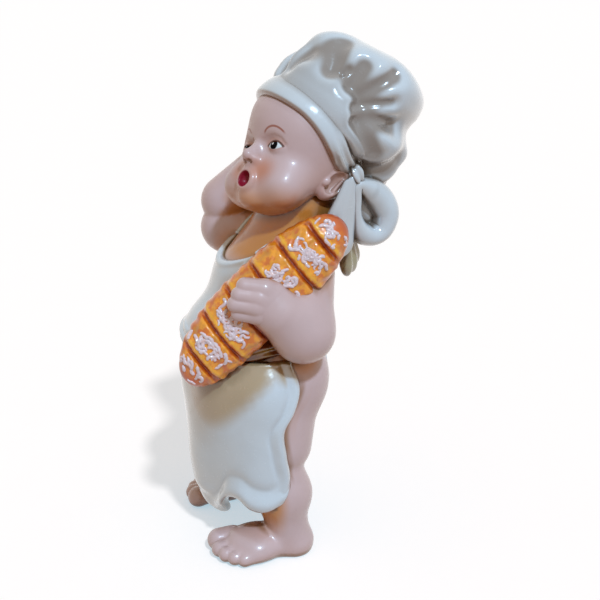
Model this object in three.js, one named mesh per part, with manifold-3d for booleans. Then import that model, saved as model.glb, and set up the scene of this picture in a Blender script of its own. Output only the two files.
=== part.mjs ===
// A glazed figurine of a small child in a baker's hat and apron, who holds a loaf against the left side.
// Millimetres, +Z up. The figure faces -Y, its own left side is +X, and its soles stand on z = 0.
import * as THREE from "three";
import { mergeVertices } from "three/addons/utils/BufferGeometryUtils.js";
import Module from "manifold-3d";

const wasm = await Module();
wasm.setup();

const at = (x, y, z) => new THREE.Vector3(x, y, z);
const degrees = THREE.MathUtils.degToRad;

// How finely the round forms are netted, as the frequency of an icosahedral net
const PLEATED_NET_STEPS = 7;
const LARGE_NET_STEPS = 5;
const MIDDLE_NET_STEPS = 3;
const SMALL_NET_STEPS = 2;
const TINY_NET_STEPS = 1;
const RING_SIDES = 8;
const RING_STEPS = 20;
const STRAP_STEPS = 22;
const SKIRT_COLUMNS = 28;
const SKIRT_ROWS = 9;

const WORKSHOP = 300; // a length that reaches past the whole figure

// Clearances and thin sections
const SEAM_GAP = 0.3; // left wherever two pieces meet
const BIB_THICKNESS = 1.9;
const WAISTBAND_THICKNESS = 3;
const SKIRT_THICKNESS = 3;
const SKIRT_EDGE_ROLL = 1.3; // how far the rolled side edge stands out
const SKIRT_EDGE_WIDTH = 5; // degrees that the roll takes
const STRAP_RADIUS = 1.4;
const STRAP_PROUD = 0.5; // how far the strap's middle stands off the skin

// Heights: the legs carry the hips, the torso the shoulders, and the neck the head
const LEG_LENGTH = 72;
const TORSO_LENGTH = 40;
const NECK_LENGTH = 37.5;
const SHOULDER_HEIGHT = LEG_LENGTH + TORSO_LENGTH;
const HEAD_HEIGHT = SHOULDER_HEIGHT + NECK_LENGTH;
const overHips = (x, y, z) => at(x, y, LEG_LENGTH + z);
const overShoulders = (x, y, z) => at(x, y, SHOULDER_HEIGHT + z);

// Legs: places are the left leg's, and the right leg mirrors them
const HIP = overHips(14, -6, 0);
const HIP_RADIUS = 15;
const KNEE = at(20.5, -9.8, 44);
const KNEE_RADIUS = 12.5;
const THIGH_SWELL = overHips(17.5, -2, -4);
const THIGH_SWELL_RADII = at(12.5, 12, 14);
const SHIN_TOP = at(23, -10.5, 33);
const SHIN_RADIUS = 9.5;
const ANKLE = at(24.5, -7.8, 10);
const ANKLE_RADIUS = 8.2;
const CALF = at(24, -9, 24.5);
const CALF_RADII = at(10.5, 10.8, 10);
const HEEL = at(24.5, -5.7, 4);
const HEEL_RADII = at(8.3, 7.2, 7.3);
const HEEL_RADIUS = 7.1;
const FOREFOOT = at(24, -20, 4.5);
const FOREFOOT_RADII = at(10.3, 10, 6.5);
const INSTEP_END = at(22.5, -25, 4.5);
const INSTEP_RADIUS = 5.5;
const THIGH_BLEND = 5;
const FOOT_BLEND = 4;
const TOE_LENGTH = 5;
const TOE_RISE = 0.6; // how much higher a toe starts than it ends
const TOE_ROOT_SHARE = 0.9; // of the tip's radius
const TOES = [
  { tip: at(17, -33, 4.2), radius: 4.3 },
  { tip: at(22.4, -33.8, 3.5), radius: 3.2 },
  { tip: at(26.3, -32.3, 3.2), radius: 3.0 },
  { tip: at(29.4, -29.8, 3.0), radius: 2.8 },
  { tip: at(31.6, -26.6, 2.8), radius: 2.7 },
];

// Torso
const BELLY = overHips(0, -17, 8);
const BELLY_RADII = at(23, 21, 18);
const CHEST = overShoulders(0, -10, -11.5);
const CHEST_RADII = at(20, 16.5, 18);
const BUTTOCK = overHips(9, 0, -5);
const BUTTOCK_RADII = at(13.5, 12.5, 13);
const SHOULDER = overShoulders(14, -0.5, 0);
const SHOULDER_RADIUS = 11;
const NECK_BASE = overShoulders(0, 1, 0);
const NECK_TOP = overShoulders(2.2, 4, 17);
const NECK_BASE_RADIUS = 17;
const NECK_TOP_RADIUS = 14.5;
const TORSO_BLEND = 8;
const TORSO_HEART = 0.35; // where its net is centred, as a share from belly to shoulders

// Left arm, bent round the loaf, and its hand
const LEFT_SHOULDER = overShoulders(24, -0.5, -2);
const LEFT_ELBOW = overShoulders(33, -4.2, -19.5);
const LEFT_WRIST = overShoulders(34, -13, -11);
const UPPER_ARM_RADIUS = 10.5;
const ELBOW_RADIUS = 10.3;
const RAISED_ARM_RADIUS = 10; // at the right shoulder and below the right wrist
const WRIST_RADIUS = 9;
const LEFT_PALM = overShoulders(34.5, -17, -7);
const PALM_RADII = at(6.2, 8.5, 8.6);
const FINGER_REACH = at(-2.4, -6.2, 0.8); // from knuckle to tip
const KNUCKLE_SWELL = 1.08; // of the tip's radius
const LEFT_KNUCKLES = [
  { at: overShoulders(36, -19, -1), radius: 2.9 },
  { at: overShoulders(36.6, -21.2, -3.8), radius: 2.8 },
  { at: overShoulders(36.6, -22.6, -7), radius: 2.8 },
  { at: overShoulders(36.4, -21.6, -10.5), radius: 2.5 },
];

// Right arm, raised with the elbow forward and the hand beside the head
const RIGHT_SHOULDER = overShoulders(-18, 1, -1);
const RIGHT_ELBOW = overShoulders(-31, -14.5, 2);
const RIGHT_FOREARM_START = overShoulders(-31.5, -14.5, 12.5);
const RIGHT_WRIST = overShoulders(-26, 0, 28);
const RIGHT_WRIST_RADIUS = 8;
const RIGHT_PALM = overShoulders(-24, 6, 35);
const RIGHT_PALM_RADII = at(5.5, 8, 8);
const RIGHT_FINGER_REACH = at(1.5, 6.5, 3.5);
const RIGHT_KNUCKLES = [
  { at: overShoulders(-24.5, 7, 40.5), radius: 2.6 },
  { at: overShoulders(-24.5, 9.5, 37.5), radius: 2.7 },
  { at: overShoulders(-24.5, 10.8, 34), radius: 2.7 },
  { at: overShoulders(-24.5, 10.2, 30.5), radius: 2.4 },
];

// Head: places below are in the head's own frame, which looks along its -Y
const HEAD_CENTRE = at(2.4, 2.5, HEAD_HEIGHT);
const besideHead = (x, y, z) => HEAD_CENTRE.clone().add(at(x, y, z));
const HEAD_YAW = 23; // to its left
const HEAD_PITCH = 15.5; // leaning back
const HEAD_ROLL = 10; // left ear down
const CRANIUM = at(0, 4, 8.2);
const CRANIUM_RADII = at(20.1, 20.4, 18.5);
const FOREHEAD = at(0, -3.5, 9.5);
const FOREHEAD_RADII = at(15.9, 13.6, 13);
const JAW = at(0, -2.1, -4.5);
const JAW_RADII = at(17.8, 13.7, 13);
const HEAD_BLEND = 7;

// Face: it looks further up and to its left than the skull; places below are in its own frame
const FACE_CENTRE = besideHead(-0.1, -1.6, -4.7);
const FACE_YAW = 28;
const FACE_PITCH = 28;
const FACE_ROLL = -7.6;
const CHEEK = at(9.2, -9.6, -10.8);
const CHEEK_RADII = at(8, 8, 8.2);
const CHIN = at(0, -13.2, -16.4);
const CHIN_RADII = at(5.6, 5.4, 4.4);
const MUZZLE = at(0, -12.4, -9);
const MUZZLE_RADII = at(6.4, 7.2, 8.5);
const MANDIBLE = at(0, -6, -11.5);
const MANDIBLE_RADII = at(12, 9, 9);
const MUZZLE_BLEND = 4;
const CHEEK_BLEND = 3.2;
const FACE_BLEND = 6;
const NOSE_BRIDGE = at(0, -16.2, 2);
const NOSE_TIP = at(0, -20.9, -3.4);
const NOSE_RADII = [1.8, 2.6]; // at the bridge and at the tip
const MOUTH = at(0, -20.9, -11.6);
const MOUTH_RADII = at(2.5, 3.6, 3);
const EAR = at(18.4, 4.6, -5);
const EAR_RADII = at(3, 5, 7.2);
const EAR_SPLAY = 18; // the front edge turned towards the head
const EAR_TILT = 36; // the top laid back
const EAR_BOWL = at(2.2, -0.6, 0.8);
const EAR_BOWL_RADII = at(2.2, 3.1, 4.9);

// Hat: the band's lower edge passes through BROW_POINT and leans back to the nape
const BROW_POINT = at(0, -17.5, 18);
const HAT_TILT = 31;
const BAND_WIDTH = 17;
const BAND_THICKNESS = 1.2;
const BAND_ROLLS = 2;
const BAND_ROLL_HEIGHT = 1.4;
const CROWN_BASE = besideHead(-1.4, 18, 11);
const CROWN_BASE_AXIS = at(-0.05, 0.68, 0.73);
const CROWN_BASE_RADII = at(25.8, 29.5, 12);
const CROWN_TOP = besideHead(-1.4, 26, 24);
const CROWN_TOP_AXIS = at(-0.05, 0.53, 0.845);
const CROWN_TOP_RADII = at(23.8, 24.5, 12);
const CROWN_NAPE = besideHead(-1.4, 26.5, -7); // the puff that hangs over the nape
const CROWN_NAPE_RADII = at(15, 10, 13);
const CROWN_BLEND = 7;
const CROWN_SQUARENESS = 2.5;
const CROWN_SHOULDER = 1.4; // how much of its height a cushion's distance counts
const PLEATS = 13;
const PLEAT_DEPTH = 1.3;
const PLEAT_WANDER = 1.5; // how unevenly they are spaced
const PLEAT_DROP = 4; // how far below the crown's middle they are deepest

// Bow of the hat, tied behind the left ear
const KNOT = besideHead(16.1, 17.8, -5.9);
const KNOT_RADII = at(2.9, 3.1, 3.8);
const BOW_LOOP = [
  { at: besideHead(15.8, 18.6, -9.9), wide: 2.4, deep: 2.6 },
  { at: besideHead(16, 17.3, -15.2), wide: 2.7, deep: 3.2 },
  { at: besideHead(15.8, 17.1, -21.5), wide: 3.2, deep: 4 },
  { at: besideHead(14.6, 19.6, -27.3), wide: 3.7, deep: 4.6 },
  { at: besideHead(13.1, 24.3, -29.8), wide: 3.4, deep: 4.8 },
  { at: besideHead(12.2, 29.3, -28.3), wide: 3.7, deep: 5 },
  { at: besideHead(11.8, 31.7, -22.7), wide: 4.1, deep: 5.4 },
  { at: besideHead(12, 29.3, -17.2), wide: 4.9, deep: 5.4 },
  { at: besideHead(13.6, 24.9, -12.5), wide: 4, deep: 4.2 },
];
const BOW_LOOP_BACK = besideHead(10, 24.2, -20.5); // closes the loop on its far side
const BOW_LOOP_BACK_RADII = at(2.2, 7.5, 9);
const BOW_STRAND_TOP = besideHead(17.1, 15.5, -8.5);
const BOW_STRAND_END = besideHead(17.6, 8.5, -29.5);
const BOW_STRAND_RADII = [2.4, 6.5];
const BOW_TAIL_TOP = besideHead(11.6, 17.1, -33.2);
const BOW_TAIL_END = besideHead(9.1, 18.4, -39.3);
const BOW_TAIL_RADII = [4, 5];
const RIBBON_FLATNESS = 0.45; // thickness of a flat ribbon as a share of its width

// Loaf, held aslant from the front of the belly to the left shoulder
const LOAF_CENTRE = overShoulders(26.5, -18, -8.1);
const LOAF_AXIS = at(5.2, 22, 21.7);
const LOAF_FACE = at(1, -0.3, 0.25); // the way its slashed face looks
const LOAF_LENGTH = 80;
const LOAF_DROOP = 3.2; // how far its lower end hangs down out of line
const LOAF_WIDTH = 25;
const LOAF_THICKNESS = 16.8;
const LOAF_ROUNDNESS = 2.2; // of its section: 2 is an ellipse, more is squarer
const LOAF_END_SQUARENESS = 3.1;
const LOAF_SLASHES = 6;
const SLASH_SPACING = 12;
const SLASH_SLANT = 5; // degrees off the square
const SLASH_DEPTH = 2.2;
const SLASH_WIDTH = 2;

// Apron
const BIB_RISE = 4; // above the shoulders
const BIB_TOP = SHOULDER_HEIGHT + BIB_RISE;
const NECKLINE_DEPTH = 4.5; // from the bib's corners to the lowest point of its upper edge
const BIB_NECKLINE = BIB_TOP - NECKLINE_DEPTH;
const BIB_TOP_HALF_WIDTH = 14;
const BIB_HALF_WIDTH = 18.5;
const BIB_BACK_LIMIT = -7; // how far back its sides reach
const WAISTBAND_RISE = 7; // above the hips
const WAISTBAND_WIDTH = 9;
const WAISTBAND_BOTTOM = LEG_LENGTH + WAISTBAND_RISE;
const WAISTBAND_TOP = WAISTBAND_BOTTOM + WAISTBAND_WIDTH;
const WAISTBAND_ROUNDNESS = 0.85; // share of its thickness that rounds off towards its edges
const SKIRT_AXIS_Y = -8; // the upright line that the skirt's section is drawn about
const SKIRT_SQUARENESS = 2.3;
const SKIRT_PROFILE = [ // each station's drop is measured down from the waistband
  { drop: 0, side: 29.5, front: 31.5, wrap: 92 },
  { drop: 8, side: 33.8, front: 33, wrap: 95 },
  { drop: 16, side: 35.2, front: 33, wrap: 91 },
  { drop: 23, side: 35.2, front: 32.5, wrap: 84.5 },
  { drop: 34, side: 35, front: 31.5, wrap: 85.5 },
  { drop: 45, side: 34.5, front: 30.5, wrap: 88 },
  { drop: 51, side: 34, front: 29.5, wrap: 86 },
  { drop: 59, side: 33, front: 27.5, wrap: 81 },
  { drop: 65, side: 31, front: 23, wrap: 79 },
  { drop: 70, side: 29, front: 19.5, wrap: 78 },
  { drop: 75, side: 27.5, front: 17.5, wrap: 76 },
];
const HEM_REACH = 88; // how far round the hem is drawn, in degrees to each side
const HEM = [
  { angle: -90, z: 27 },
  { angle: -76, z: 22.5 },
  { angle: -60, z: 23 },
  { angle: -44, z: 21 },
  { angle: -28, z: 14.5 },
  { angle: -8, z: 12 },
  { angle: 12, z: 10.5 },
  { angle: 26, z: 10.5 },
  { angle: 36, z: 15 },
  { angle: 46, z: 24 },
  { angle: 55, z: 26 },
  { angle: 66, z: 23 },
  { angle: 78, z: 22.5 },
  { angle: 90, z: 27 },
];
const SKIRT_FOLDS = 5.8;
const SKIRT_FOLD_DEPTH = 1.5;
const SKIRT_FOLD_START = 12; // angle of the first fold's crest
const STRAP_ROUTE = [
  at(13, -15, BIB_TOP),
  at(16.5, -6, BIB_TOP + 5),
  at(17, 4, BIB_TOP + 7),
  at(10, 15, BIB_TOP + 8.5),
  at(1.5, 18, BIB_TOP + 9),
];
const BACK_KNOT = overHips(0, 11.4, 11);
const BACK_KNOT_RADII = at(3.8, 3.4, 4.4);
const BACK_LOOP = overHips(9.5, 9.6, 10.5);
const BACK_LOOP_RADII = at(8, 3.8, 5.8);
const BACK_TAIL_TOP = overHips(2.6, 12.2, 6);
const BACK_TAIL_END = overHips(4.8, 13, -9);
const BACK_TAIL_RADII = [2.4, 4];

// Colours and finishes of the glaze
const finish = (color, roughness) => ({ color, roughness, metalness: 0 });
const SKIN = finish(0xe6c3bb, 0.22);
const CLOTH = finish(0xdfe3e0, 0.15);
const CREAM = finish(0xd8d3b4, 0.2);
const CRUST = finish(0xe07a12, 0.35);

// Forms: a form gives a point's distance to its surface, negative inside
function ball(centre, radii) {
  const smallest = Math.min(radii.x, radii.y, radii.z);
  return (p) => {
    const q = p.clone().sub(centre).divide(radii);
    const near = q.length();
    const slope = q.divide(radii).length();
    return slope > 1e-9 ? (near * (near - 1)) / slope : -smallest;
  };
}

// A limb swells or tapers evenly from one joint to the next, with round ends
function limb(from, to, startRadius, endRadius) {
  const axis = to.clone().sub(from);
  const length = axis.length();
  axis.normalize();
  const taper = (startRadius - endRadius) / length;
  const lean = Math.sqrt(Math.max(1 - taper * taper, 1e-6));
  return (p) => {
    const q = p.clone().sub(from);
    const along = q.dot(axis);
    const across = Math.sqrt(Math.max(q.lengthSq() - along * along, 0));
    const side = along * lean - across * taper;
    if (side < 0) return Math.hypot(across, along) - startRadius;
    if (side > lean * length) return Math.hypot(across, along - length) - endRadius;
    return across * lean + along * taper - startRadius;
  };
}

function blend(softness, ...forms) {
  return (p) =>
    forms.map((form) => form(p)).reduce((a, b) => {
      const overlap = Math.max(softness - Math.abs(a - b), 0) / softness;
      return Math.min(a, b) - (overlap * overlap * softness) / 4;
    });
}

// A form drawn in a frame of its own, seen from the figure's frame
function placed(form, frame) {
  const inverse = frame.clone().invert();
  return (p) => form(p.clone().applyMatrix4(inverse));
}

// A rotation whose +Z looks along an axis and whose +X lies nearest to a second direction
function aim(axis, nearX) {
  const z = axis.clone().normalize();
  const y = z.clone().cross(nearX).normalize();
  return new THREE.Matrix4().makeBasis(y.clone().cross(z), y, z);
}

const mirrored = (p, side) => at(side * p.x, p.y, p.z);

// Solids
function solidOf(geometry) {
  const bare = new THREE.BufferGeometry();
  bare.setAttribute("position", geometry.getAttribute("position").clone());
  bare.setIndex(geometry.index);
  const merged = mergeVertices(bare, 1e-4);
  const vertProperties = new Float32Array(merged.attributes.position.array);
  const triVerts = new Uint32Array(merged.index.array);
  return new wasm.Manifold(new wasm.Mesh({ numProp: 3, vertProperties, triVerts }));
}

// A round net drawn tight over a form: each of its points moves along its own ray to the surface
function wrap(form, centre, reach, detail, frame = new THREE.Matrix4()) {
  const net = new THREE.IcosahedronGeometry(1, detail);
  const points = net.getAttribute("position");
  for (let i = 0; i < points.count; i += 1) {
    const ray = at(0, 0, 0).fromBufferAttribute(points, i).multiply(reach).applyMatrix4(frame);
    const start = ray.length() * 2;
    ray.normalize();
    const pointAt = (distance) => centre.clone().addScaledVector(ray, distance);
    let outside = start;
    let inside = 0;
    for (let t = start; t > 0; t -= start / 60) {
      if (form(pointAt(t)) < 0) {
        inside = t;
        break;
      }
      outside = t;
    }
    for (let step = 0; step < 18; step += 1) {
      const middle = (inside + outside) / 2;
      if (form(pointAt(middle)) < 0) inside = middle;
      else outside = middle;
    }
    points.setXYZ(i, ...pointAt(inside).toArray());
  }
  return solidOf(net);
}

const grown = (form, by) => (p) => form(p) - by;

function limbSolid(from, to, startRadius, endRadius, detail, growth = 0) {
  const middle = from.clone().lerp(to, 0.5);
  const axis = to.clone().sub(from);
  const width = Math.max(startRadius, endRadius);
  const reach = at(width, width, width + axis.length() / 2);
  const frame = aim(axis, Math.abs(axis.x) > Math.abs(axis.y) ? at(0, 1, 0) : at(1, 0, 0));
  return wrap(grown(limb(from, to, startRadius, endRadius), growth), middle, reach, detail, frame);
}

function ballSolid(centre, radii, detail, growth = 0) {
  return wrap(grown(ball(centre, radii), growth), centre, radii, detail);
}

function slab(lower, upper) {
  const box = new THREE.BoxGeometry(WORKSHOP, WORKSHOP, upper - lower);
  box.translate(0, 0, (lower + upper) / 2);
  return box;
}

function meshOf(solid, name, look) {
  const { numProp, vertProperties, triVerts } = solid.getMesh();
  const points = new Float32Array((vertProperties.length / numProp) * 3);
  for (let i = 0; i < points.length / 3; i += 1) {
    points.set(vertProperties.subarray(i * numProp, i * numProp + 3), i * 3);
  }
  const geometry = new THREE.BufferGeometry();
  geometry.setAttribute("position", new THREE.BufferAttribute(points, 3));
  geometry.setIndex(new THREE.BufferAttribute(new Uint32Array(triVerts), 1));
  geometry.computeVertexNormals();
  const mesh = new THREE.Mesh(geometry, new THREE.MeshStandardMaterial(look));
  mesh.name = name;
  return mesh;
}

const without = (solid, ...cutters) => cutters.reduce((rest, cutter) => rest.subtract(cutter), solid);

// Only the largest body of a cut piece is kept, so that no sliver is left beside it
function largest(solid) {
  return solid.decompose().reduce((a, b) => (a.volume() > b.volume() ? a : b));
}

// Torso
const torsoForm = blend(
  TORSO_BLEND,
  ball(BELLY, BELLY_RADII),
  ball(CHEST, CHEST_RADII),
  ball(BUTTOCK, BUTTOCK_RADII),
  ball(mirrored(BUTTOCK, -1), BUTTOCK_RADII),
  limb(mirrored(SHOULDER, -1), SHOULDER, SHOULDER_RADIUS, SHOULDER_RADIUS),
  limb(NECK_BASE, NECK_TOP, NECK_BASE_RADIUS, NECK_TOP_RADIUS),
);
const torsoMiddle = BELLY.clone().lerp(SHOULDER.clone().setX(0), TORSO_HEART);
const torsoReach = at(BELLY_RADII.x, BELLY_RADII.y, (NECK_TOP.z - BUTTOCK.z) / 2 + NECK_TOP_RADIUS);
const torsoSolid = (growth = 0) => wrap(grown(torsoForm, growth), torsoMiddle, torsoReach, LARGE_NET_STEPS);

// Legs
function legSolid(side, growth = 0) {
  const m = (p) => mirrored(p, side);
  const upper = limb(m(HIP), m(KNEE), HIP_RADIUS, KNEE_RADIUS);
  const thigh = blend(THIGH_BLEND, upper, ball(m(THIGH_SWELL), THIGH_SWELL_RADII));
  const shin = limb(m(SHIN_TOP), m(ANKLE), SHIN_RADIUS, ANKLE_RADIUS);
  const calf = blend(FOOT_BLEND, ball(m(CALF), CALF_RADII), shin);
  const foot = blend(
    FOOT_BLEND,
    ball(m(HEEL), HEEL_RADII),
    ball(m(FOREFOOT), FOREFOOT_RADII),
    limb(m(HEEL), m(INSTEP_END), HEEL_RADIUS, INSTEP_RADIUS),
  );
  const thighReach = at(HIP_RADIUS, HIP_RADIUS, (HIP.z - KNEE.z) / 2 + HIP_RADIUS);
  const calfReach = at(CALF_RADII.x, CALF_RADII.y, (SHIN_TOP.z - ANKLE.z) / 2 + SHIN_RADIUS);
  const footReach = at(FOREFOOT_RADII.x, (HEEL.y - FOREFOOT.y) / 2 + FOREFOOT_RADII.y, HEEL_RADII.z);
  let leg = wrap(grown(thigh, growth), m(HIP).lerp(m(KNEE), 0.5), thighReach, MIDDLE_NET_STEPS)
    .add(wrap(grown(calf, growth), m(CALF), calfReach, SMALL_NET_STEPS))
    .add(wrap(grown(foot, growth), m(HEEL).lerp(m(FOREFOOT), 0.5), footReach, MIDDLE_NET_STEPS));
  for (const { tip, radius } of TOES) {
    const root = m(tip).add(at(0, TOE_LENGTH, TOE_RISE));
    leg = leg.add(limbSolid(root, m(tip), radius * TOE_ROOT_SHARE, radius, TINY_NET_STEPS, growth));
  }
  return leg.subtract(solidOf(slab(-WORKSHOP, 0)));
}

// Arms
function handSolid(palm, radii, knuckles, reach, growth = 0) {
  let hand = ballSolid(palm, radii, SMALL_NET_STEPS, growth);
  for (const { at: knuckle, radius } of knuckles) {
    const tip = knuckle.clone().add(reach);
    hand = hand.add(limbSolid(knuckle, tip, radius * KNUCKLE_SWELL, radius, TINY_NET_STEPS, growth));
  }
  return hand;
}

function leftArmSolid(growth = 0) {
  const upper = limbSolid(LEFT_SHOULDER, LEFT_ELBOW, UPPER_ARM_RADIUS, ELBOW_RADIUS, SMALL_NET_STEPS, growth);
  return upper.add(limbSolid(LEFT_ELBOW, LEFT_WRIST, ELBOW_RADIUS, WRIST_RADIUS, SMALL_NET_STEPS, growth));
}

function rightArmSolid(growth = 0) {
  const radii = [RAISED_ARM_RADIUS, UPPER_ARM_RADIUS];
  const upper = limbSolid(RIGHT_SHOULDER, RIGHT_ELBOW, ...radii, SMALL_NET_STEPS, growth);
  const foreRadii = [RAISED_ARM_RADIUS, RIGHT_WRIST_RADIUS];
  const fore = limbSolid(RIGHT_FOREARM_START, RIGHT_WRIST, ...foreRadii, SMALL_NET_STEPS, growth);
  return upper.add(fore);
}

// Head
function frameOf(centre, yaw, pitch, roll) {
  const turn = new THREE.Euler(-degrees(pitch), degrees(roll), degrees(yaw), "ZYX");
  return new THREE.Matrix4().makeRotationFromEuler(turn).setPosition(centre);
}

const headFrame = frameOf(HEAD_CENTRE, HEAD_YAW, HEAD_PITCH, HEAD_ROLL);
const faceFrame = frameOf(FACE_CENTRE, FACE_YAW, FACE_PITCH, FACE_ROLL);
const faceTurn = new THREE.Matrix4().extractRotation(faceFrame);
const inHead = (p) => p.clone().applyMatrix4(headFrame);
const inFace = (p) => p.clone().applyMatrix4(faceFrame);

const skullForm = blend(HEAD_BLEND, ball(CRANIUM, CRANIUM_RADII), ball(FOREHEAD, FOREHEAD_RADII));
const faceForm = blend(
  CHEEK_BLEND,
  blend(MUZZLE_BLEND, ball(MANDIBLE, MANDIBLE_RADII), ball(CHIN, CHIN_RADII), ball(MUZZLE, MUZZLE_RADII)),
  ball(CHEEK, CHEEK_RADII),
  ball(mirrored(CHEEK, -1), CHEEK_RADII),
);
const headForm = blend(
  FACE_BLEND,
  placed(blend(HEAD_BLEND, skullForm, ball(JAW, JAW_RADII)), headFrame),
  placed(faceForm, faceFrame),
);
const headReach = at(CRANIUM_RADII.x, CRANIUM_RADII.y, CRANIUM_RADII.z);

function headSolid(growth = 0) {
  return wrap(grown(headForm, growth), HEAD_CENTRE, headReach, LARGE_NET_STEPS);
}

function faceBall(centre, radii, detail) {
  return wrap(placed(ball(centre, radii), faceFrame), inFace(centre), radii, detail, faceTurn);
}

function earSolid(side, growth = 0) {
  const frame = headFrame
    .clone()
    .multiply(new THREE.Matrix4().makeTranslation(mirrored(EAR, side)))
    .multiply(new THREE.Matrix4().makeRotationZ(-side * degrees(EAR_SPLAY)))
    .multiply(new THREE.Matrix4().makeRotationX(-degrees(EAR_TILT)));
  const turn = new THREE.Matrix4().extractRotation(frame);
  const earBall = (centre, radii, detail) => {
    const form = placed(grown(ball(centre, radii), growth), frame);
    return wrap(form, centre.clone().applyMatrix4(frame), radii, detail, turn);
  };
  const lobe = earBall(at(0, 0, 0), EAR_RADII, SMALL_NET_STEPS);
  return growth ? lobe : lobe.subtract(earBall(mirrored(EAR_BOWL, side), EAR_BOWL_RADII, TINY_NET_STEPS));
}

// Hat: its own frame stands on the band's lower edge, with +Z up through the crown
const hatFrame = headFrame
  .clone()
  .multiply(new THREE.Matrix4().makeTranslation(BROW_POINT))
  .multiply(new THREE.Matrix4().makeRotationX(-degrees(HAT_TILT)));
const fromHat = hatFrame.clone().invert();

function bandSolid(growth = 0) {
  const rollWidth = BAND_WIDTH / BAND_ROLLS;
  const outer = (p) => {
    const height = THREE.MathUtils.clamp(p.clone().applyMatrix4(fromHat).z, 0, BAND_WIDTH - 1e-6);
    const share = ((height % rollWidth) / rollWidth) * 2 - 1;
    const roll = BAND_ROLL_HEIGHT * Math.sqrt(Math.max(1 - 0.8 * share * share, 0));
    return placed(skullForm, headFrame)(p) - BAND_THICKNESS - roll - growth;
  };
  const middle = inHead(CRANIUM);
  const width = slab(-growth, BAND_WIDTH + growth);
  width.applyMatrix4(hatFrame);
  return wrap(outer, middle, headReach, LARGE_NET_STEPS).intersect(solidOf(width));
}

// A round cushion with squared shoulders, flat along its axis
function cushion(centre, axis, radii) {
  const frame = aim(axis, at(1, 0, 0)).setPosition(centre);
  const size = Math.min(radii.x, radii.y, radii.z * CROWN_SHOULDER);
  return placed((q) => {
    const out = Math.hypot(q.x / radii.x, q.y / radii.y) ** CROWN_SQUARENESS;
    const up = Math.abs(q.z / radii.z) ** CROWN_SQUARENESS;
    return ((out + up) ** (1 / CROWN_SQUARENESS) - 1) * size;
  }, frame);
}

function crownSolid(growth = 0) {
  const body = blend(
    CROWN_BLEND,
    cushion(CROWN_TOP, CROWN_TOP_AXIS, CROWN_TOP_RADII),
    cushion(CROWN_BASE, CROWN_BASE_AXIS, CROWN_BASE_RADII),
    ball(CROWN_NAPE, CROWN_NAPE_RADII),
  );
  const heart = CROWN_BASE.clone().lerp(CROWN_TOP, 0.35);
  const toCrown = aim(CROWN_BASE_AXIS, at(1, 0, 0)).setPosition(heart).invert();
  const pleated = (p) => {
    const q = p.clone().applyMatrix4(toCrown);
    const angle = Math.atan2(q.y, q.x);
    const rim = Math.min(Math.hypot(q.x, q.y) / CROWN_BASE_RADII.y, 1) ** 2;
    const height = Math.exp(-(((q.z + PLEAT_DROP) / CROWN_BASE_RADII.z) ** 2));
    const pleat = Math.cos(PLEATS * angle + PLEAT_WANDER * Math.sin(2 * angle));
    return body(p) + PLEAT_DEPTH * pleat * rim * height - growth;
  };
  const middle = CROWN_BASE.clone().lerp(CROWN_TOP, 0.5);
  const reach = CROWN_BASE_RADII.clone().setZ(CROWN_BASE_RADII.z + CROWN_TOP_RADII.z);
  return wrap(pleated, middle, reach, PLEATED_NET_STEPS, aim(CROWN_BASE_AXIS, at(1, 0, 0)));
}

// A closed tube along a ring of stations, oval in section
function ringSolid(stations) {
  const middle = new THREE.CatmullRomCurve3(stations.map((s) => s.at), true, "centripetal");
  const widths = new THREE.CatmullRomCurve3(stations.map((s) => at(s.wide, s.deep, 0)), true, "centripetal");
  const heart = stations.reduce((sum, s) => sum.add(s.at), at(0, 0, 0)).divideScalar(stations.length);
  const sides = RING_SIDES;
  const steps = RING_STEPS;
  const points = [];
  const faces = [];
  for (let i = 0; i < steps; i += 1) {
    const t = i / steps;
    const centre = middle.getPoint(t);
    const size = widths.getPoint(t);
    const along = middle.getTangent(t);
    const inward = heart.clone().sub(centre);
    const deep = along.clone().cross(inward).normalize();
    const wide = deep.clone().cross(along).normalize();
    for (let j = 0; j < sides; j += 1) {
      const turn = (2 * Math.PI * j) / sides;
      const p = centre.clone().addScaledVector(wide, size.x * Math.cos(turn));
      points.push(...p.addScaledVector(deep, size.y * Math.sin(turn)).toArray());
      const a = i * sides + j;
      const b = i * sides + ((j + 1) % sides);
      const c = ((i + 1) % steps) * sides + j;
      const d = ((i + 1) % steps) * sides + ((j + 1) % sides);
      faces.push(a, b, c, b, d, c);
    }
  }
  const geometry = new THREE.BufferGeometry();
  geometry.setAttribute("position", new THREE.Float32BufferAttribute(points, 3));
  geometry.setIndex(faces);
  return solidOf(geometry);
}

// A flat ribbon end: a limb pressed flat across the direction it lies against
function ribbonSolid(from, to, radii, across, detail, growth = 0) {
  const axis = to.clone().sub(from);
  const frame = aim(axis, across).setPosition(from.clone().lerp(to, 0.5));
  const half = axis.length() / 2;
  const flat = (q) => {
    const pressed = at(q.x / RIBBON_FLATNESS, q.y, q.z);
    return limb(at(0, 0, -half), at(0, 0, half), ...radii)(pressed) * RIBBON_FLATNESS - growth;
  };
  const width = Math.max(...radii);
  const turn = new THREE.Matrix4().extractRotation(frame);
  const middle = at(0, 0, 0).setFromMatrixPosition(frame);
  return wrap(placed(flat, frame), middle, at(width * RIBBON_FLATNESS, width, half + width), detail, turn);
}

// Loaf: a long cushion, with slanting slashes of even depth across the face that looks outwards
const loafFrame = aim(LOAF_AXIS, LOAF_FACE).setPosition(LOAF_CENTRE);
const loafTurn = new THREE.Matrix4().extractRotation(loafFrame);

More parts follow.
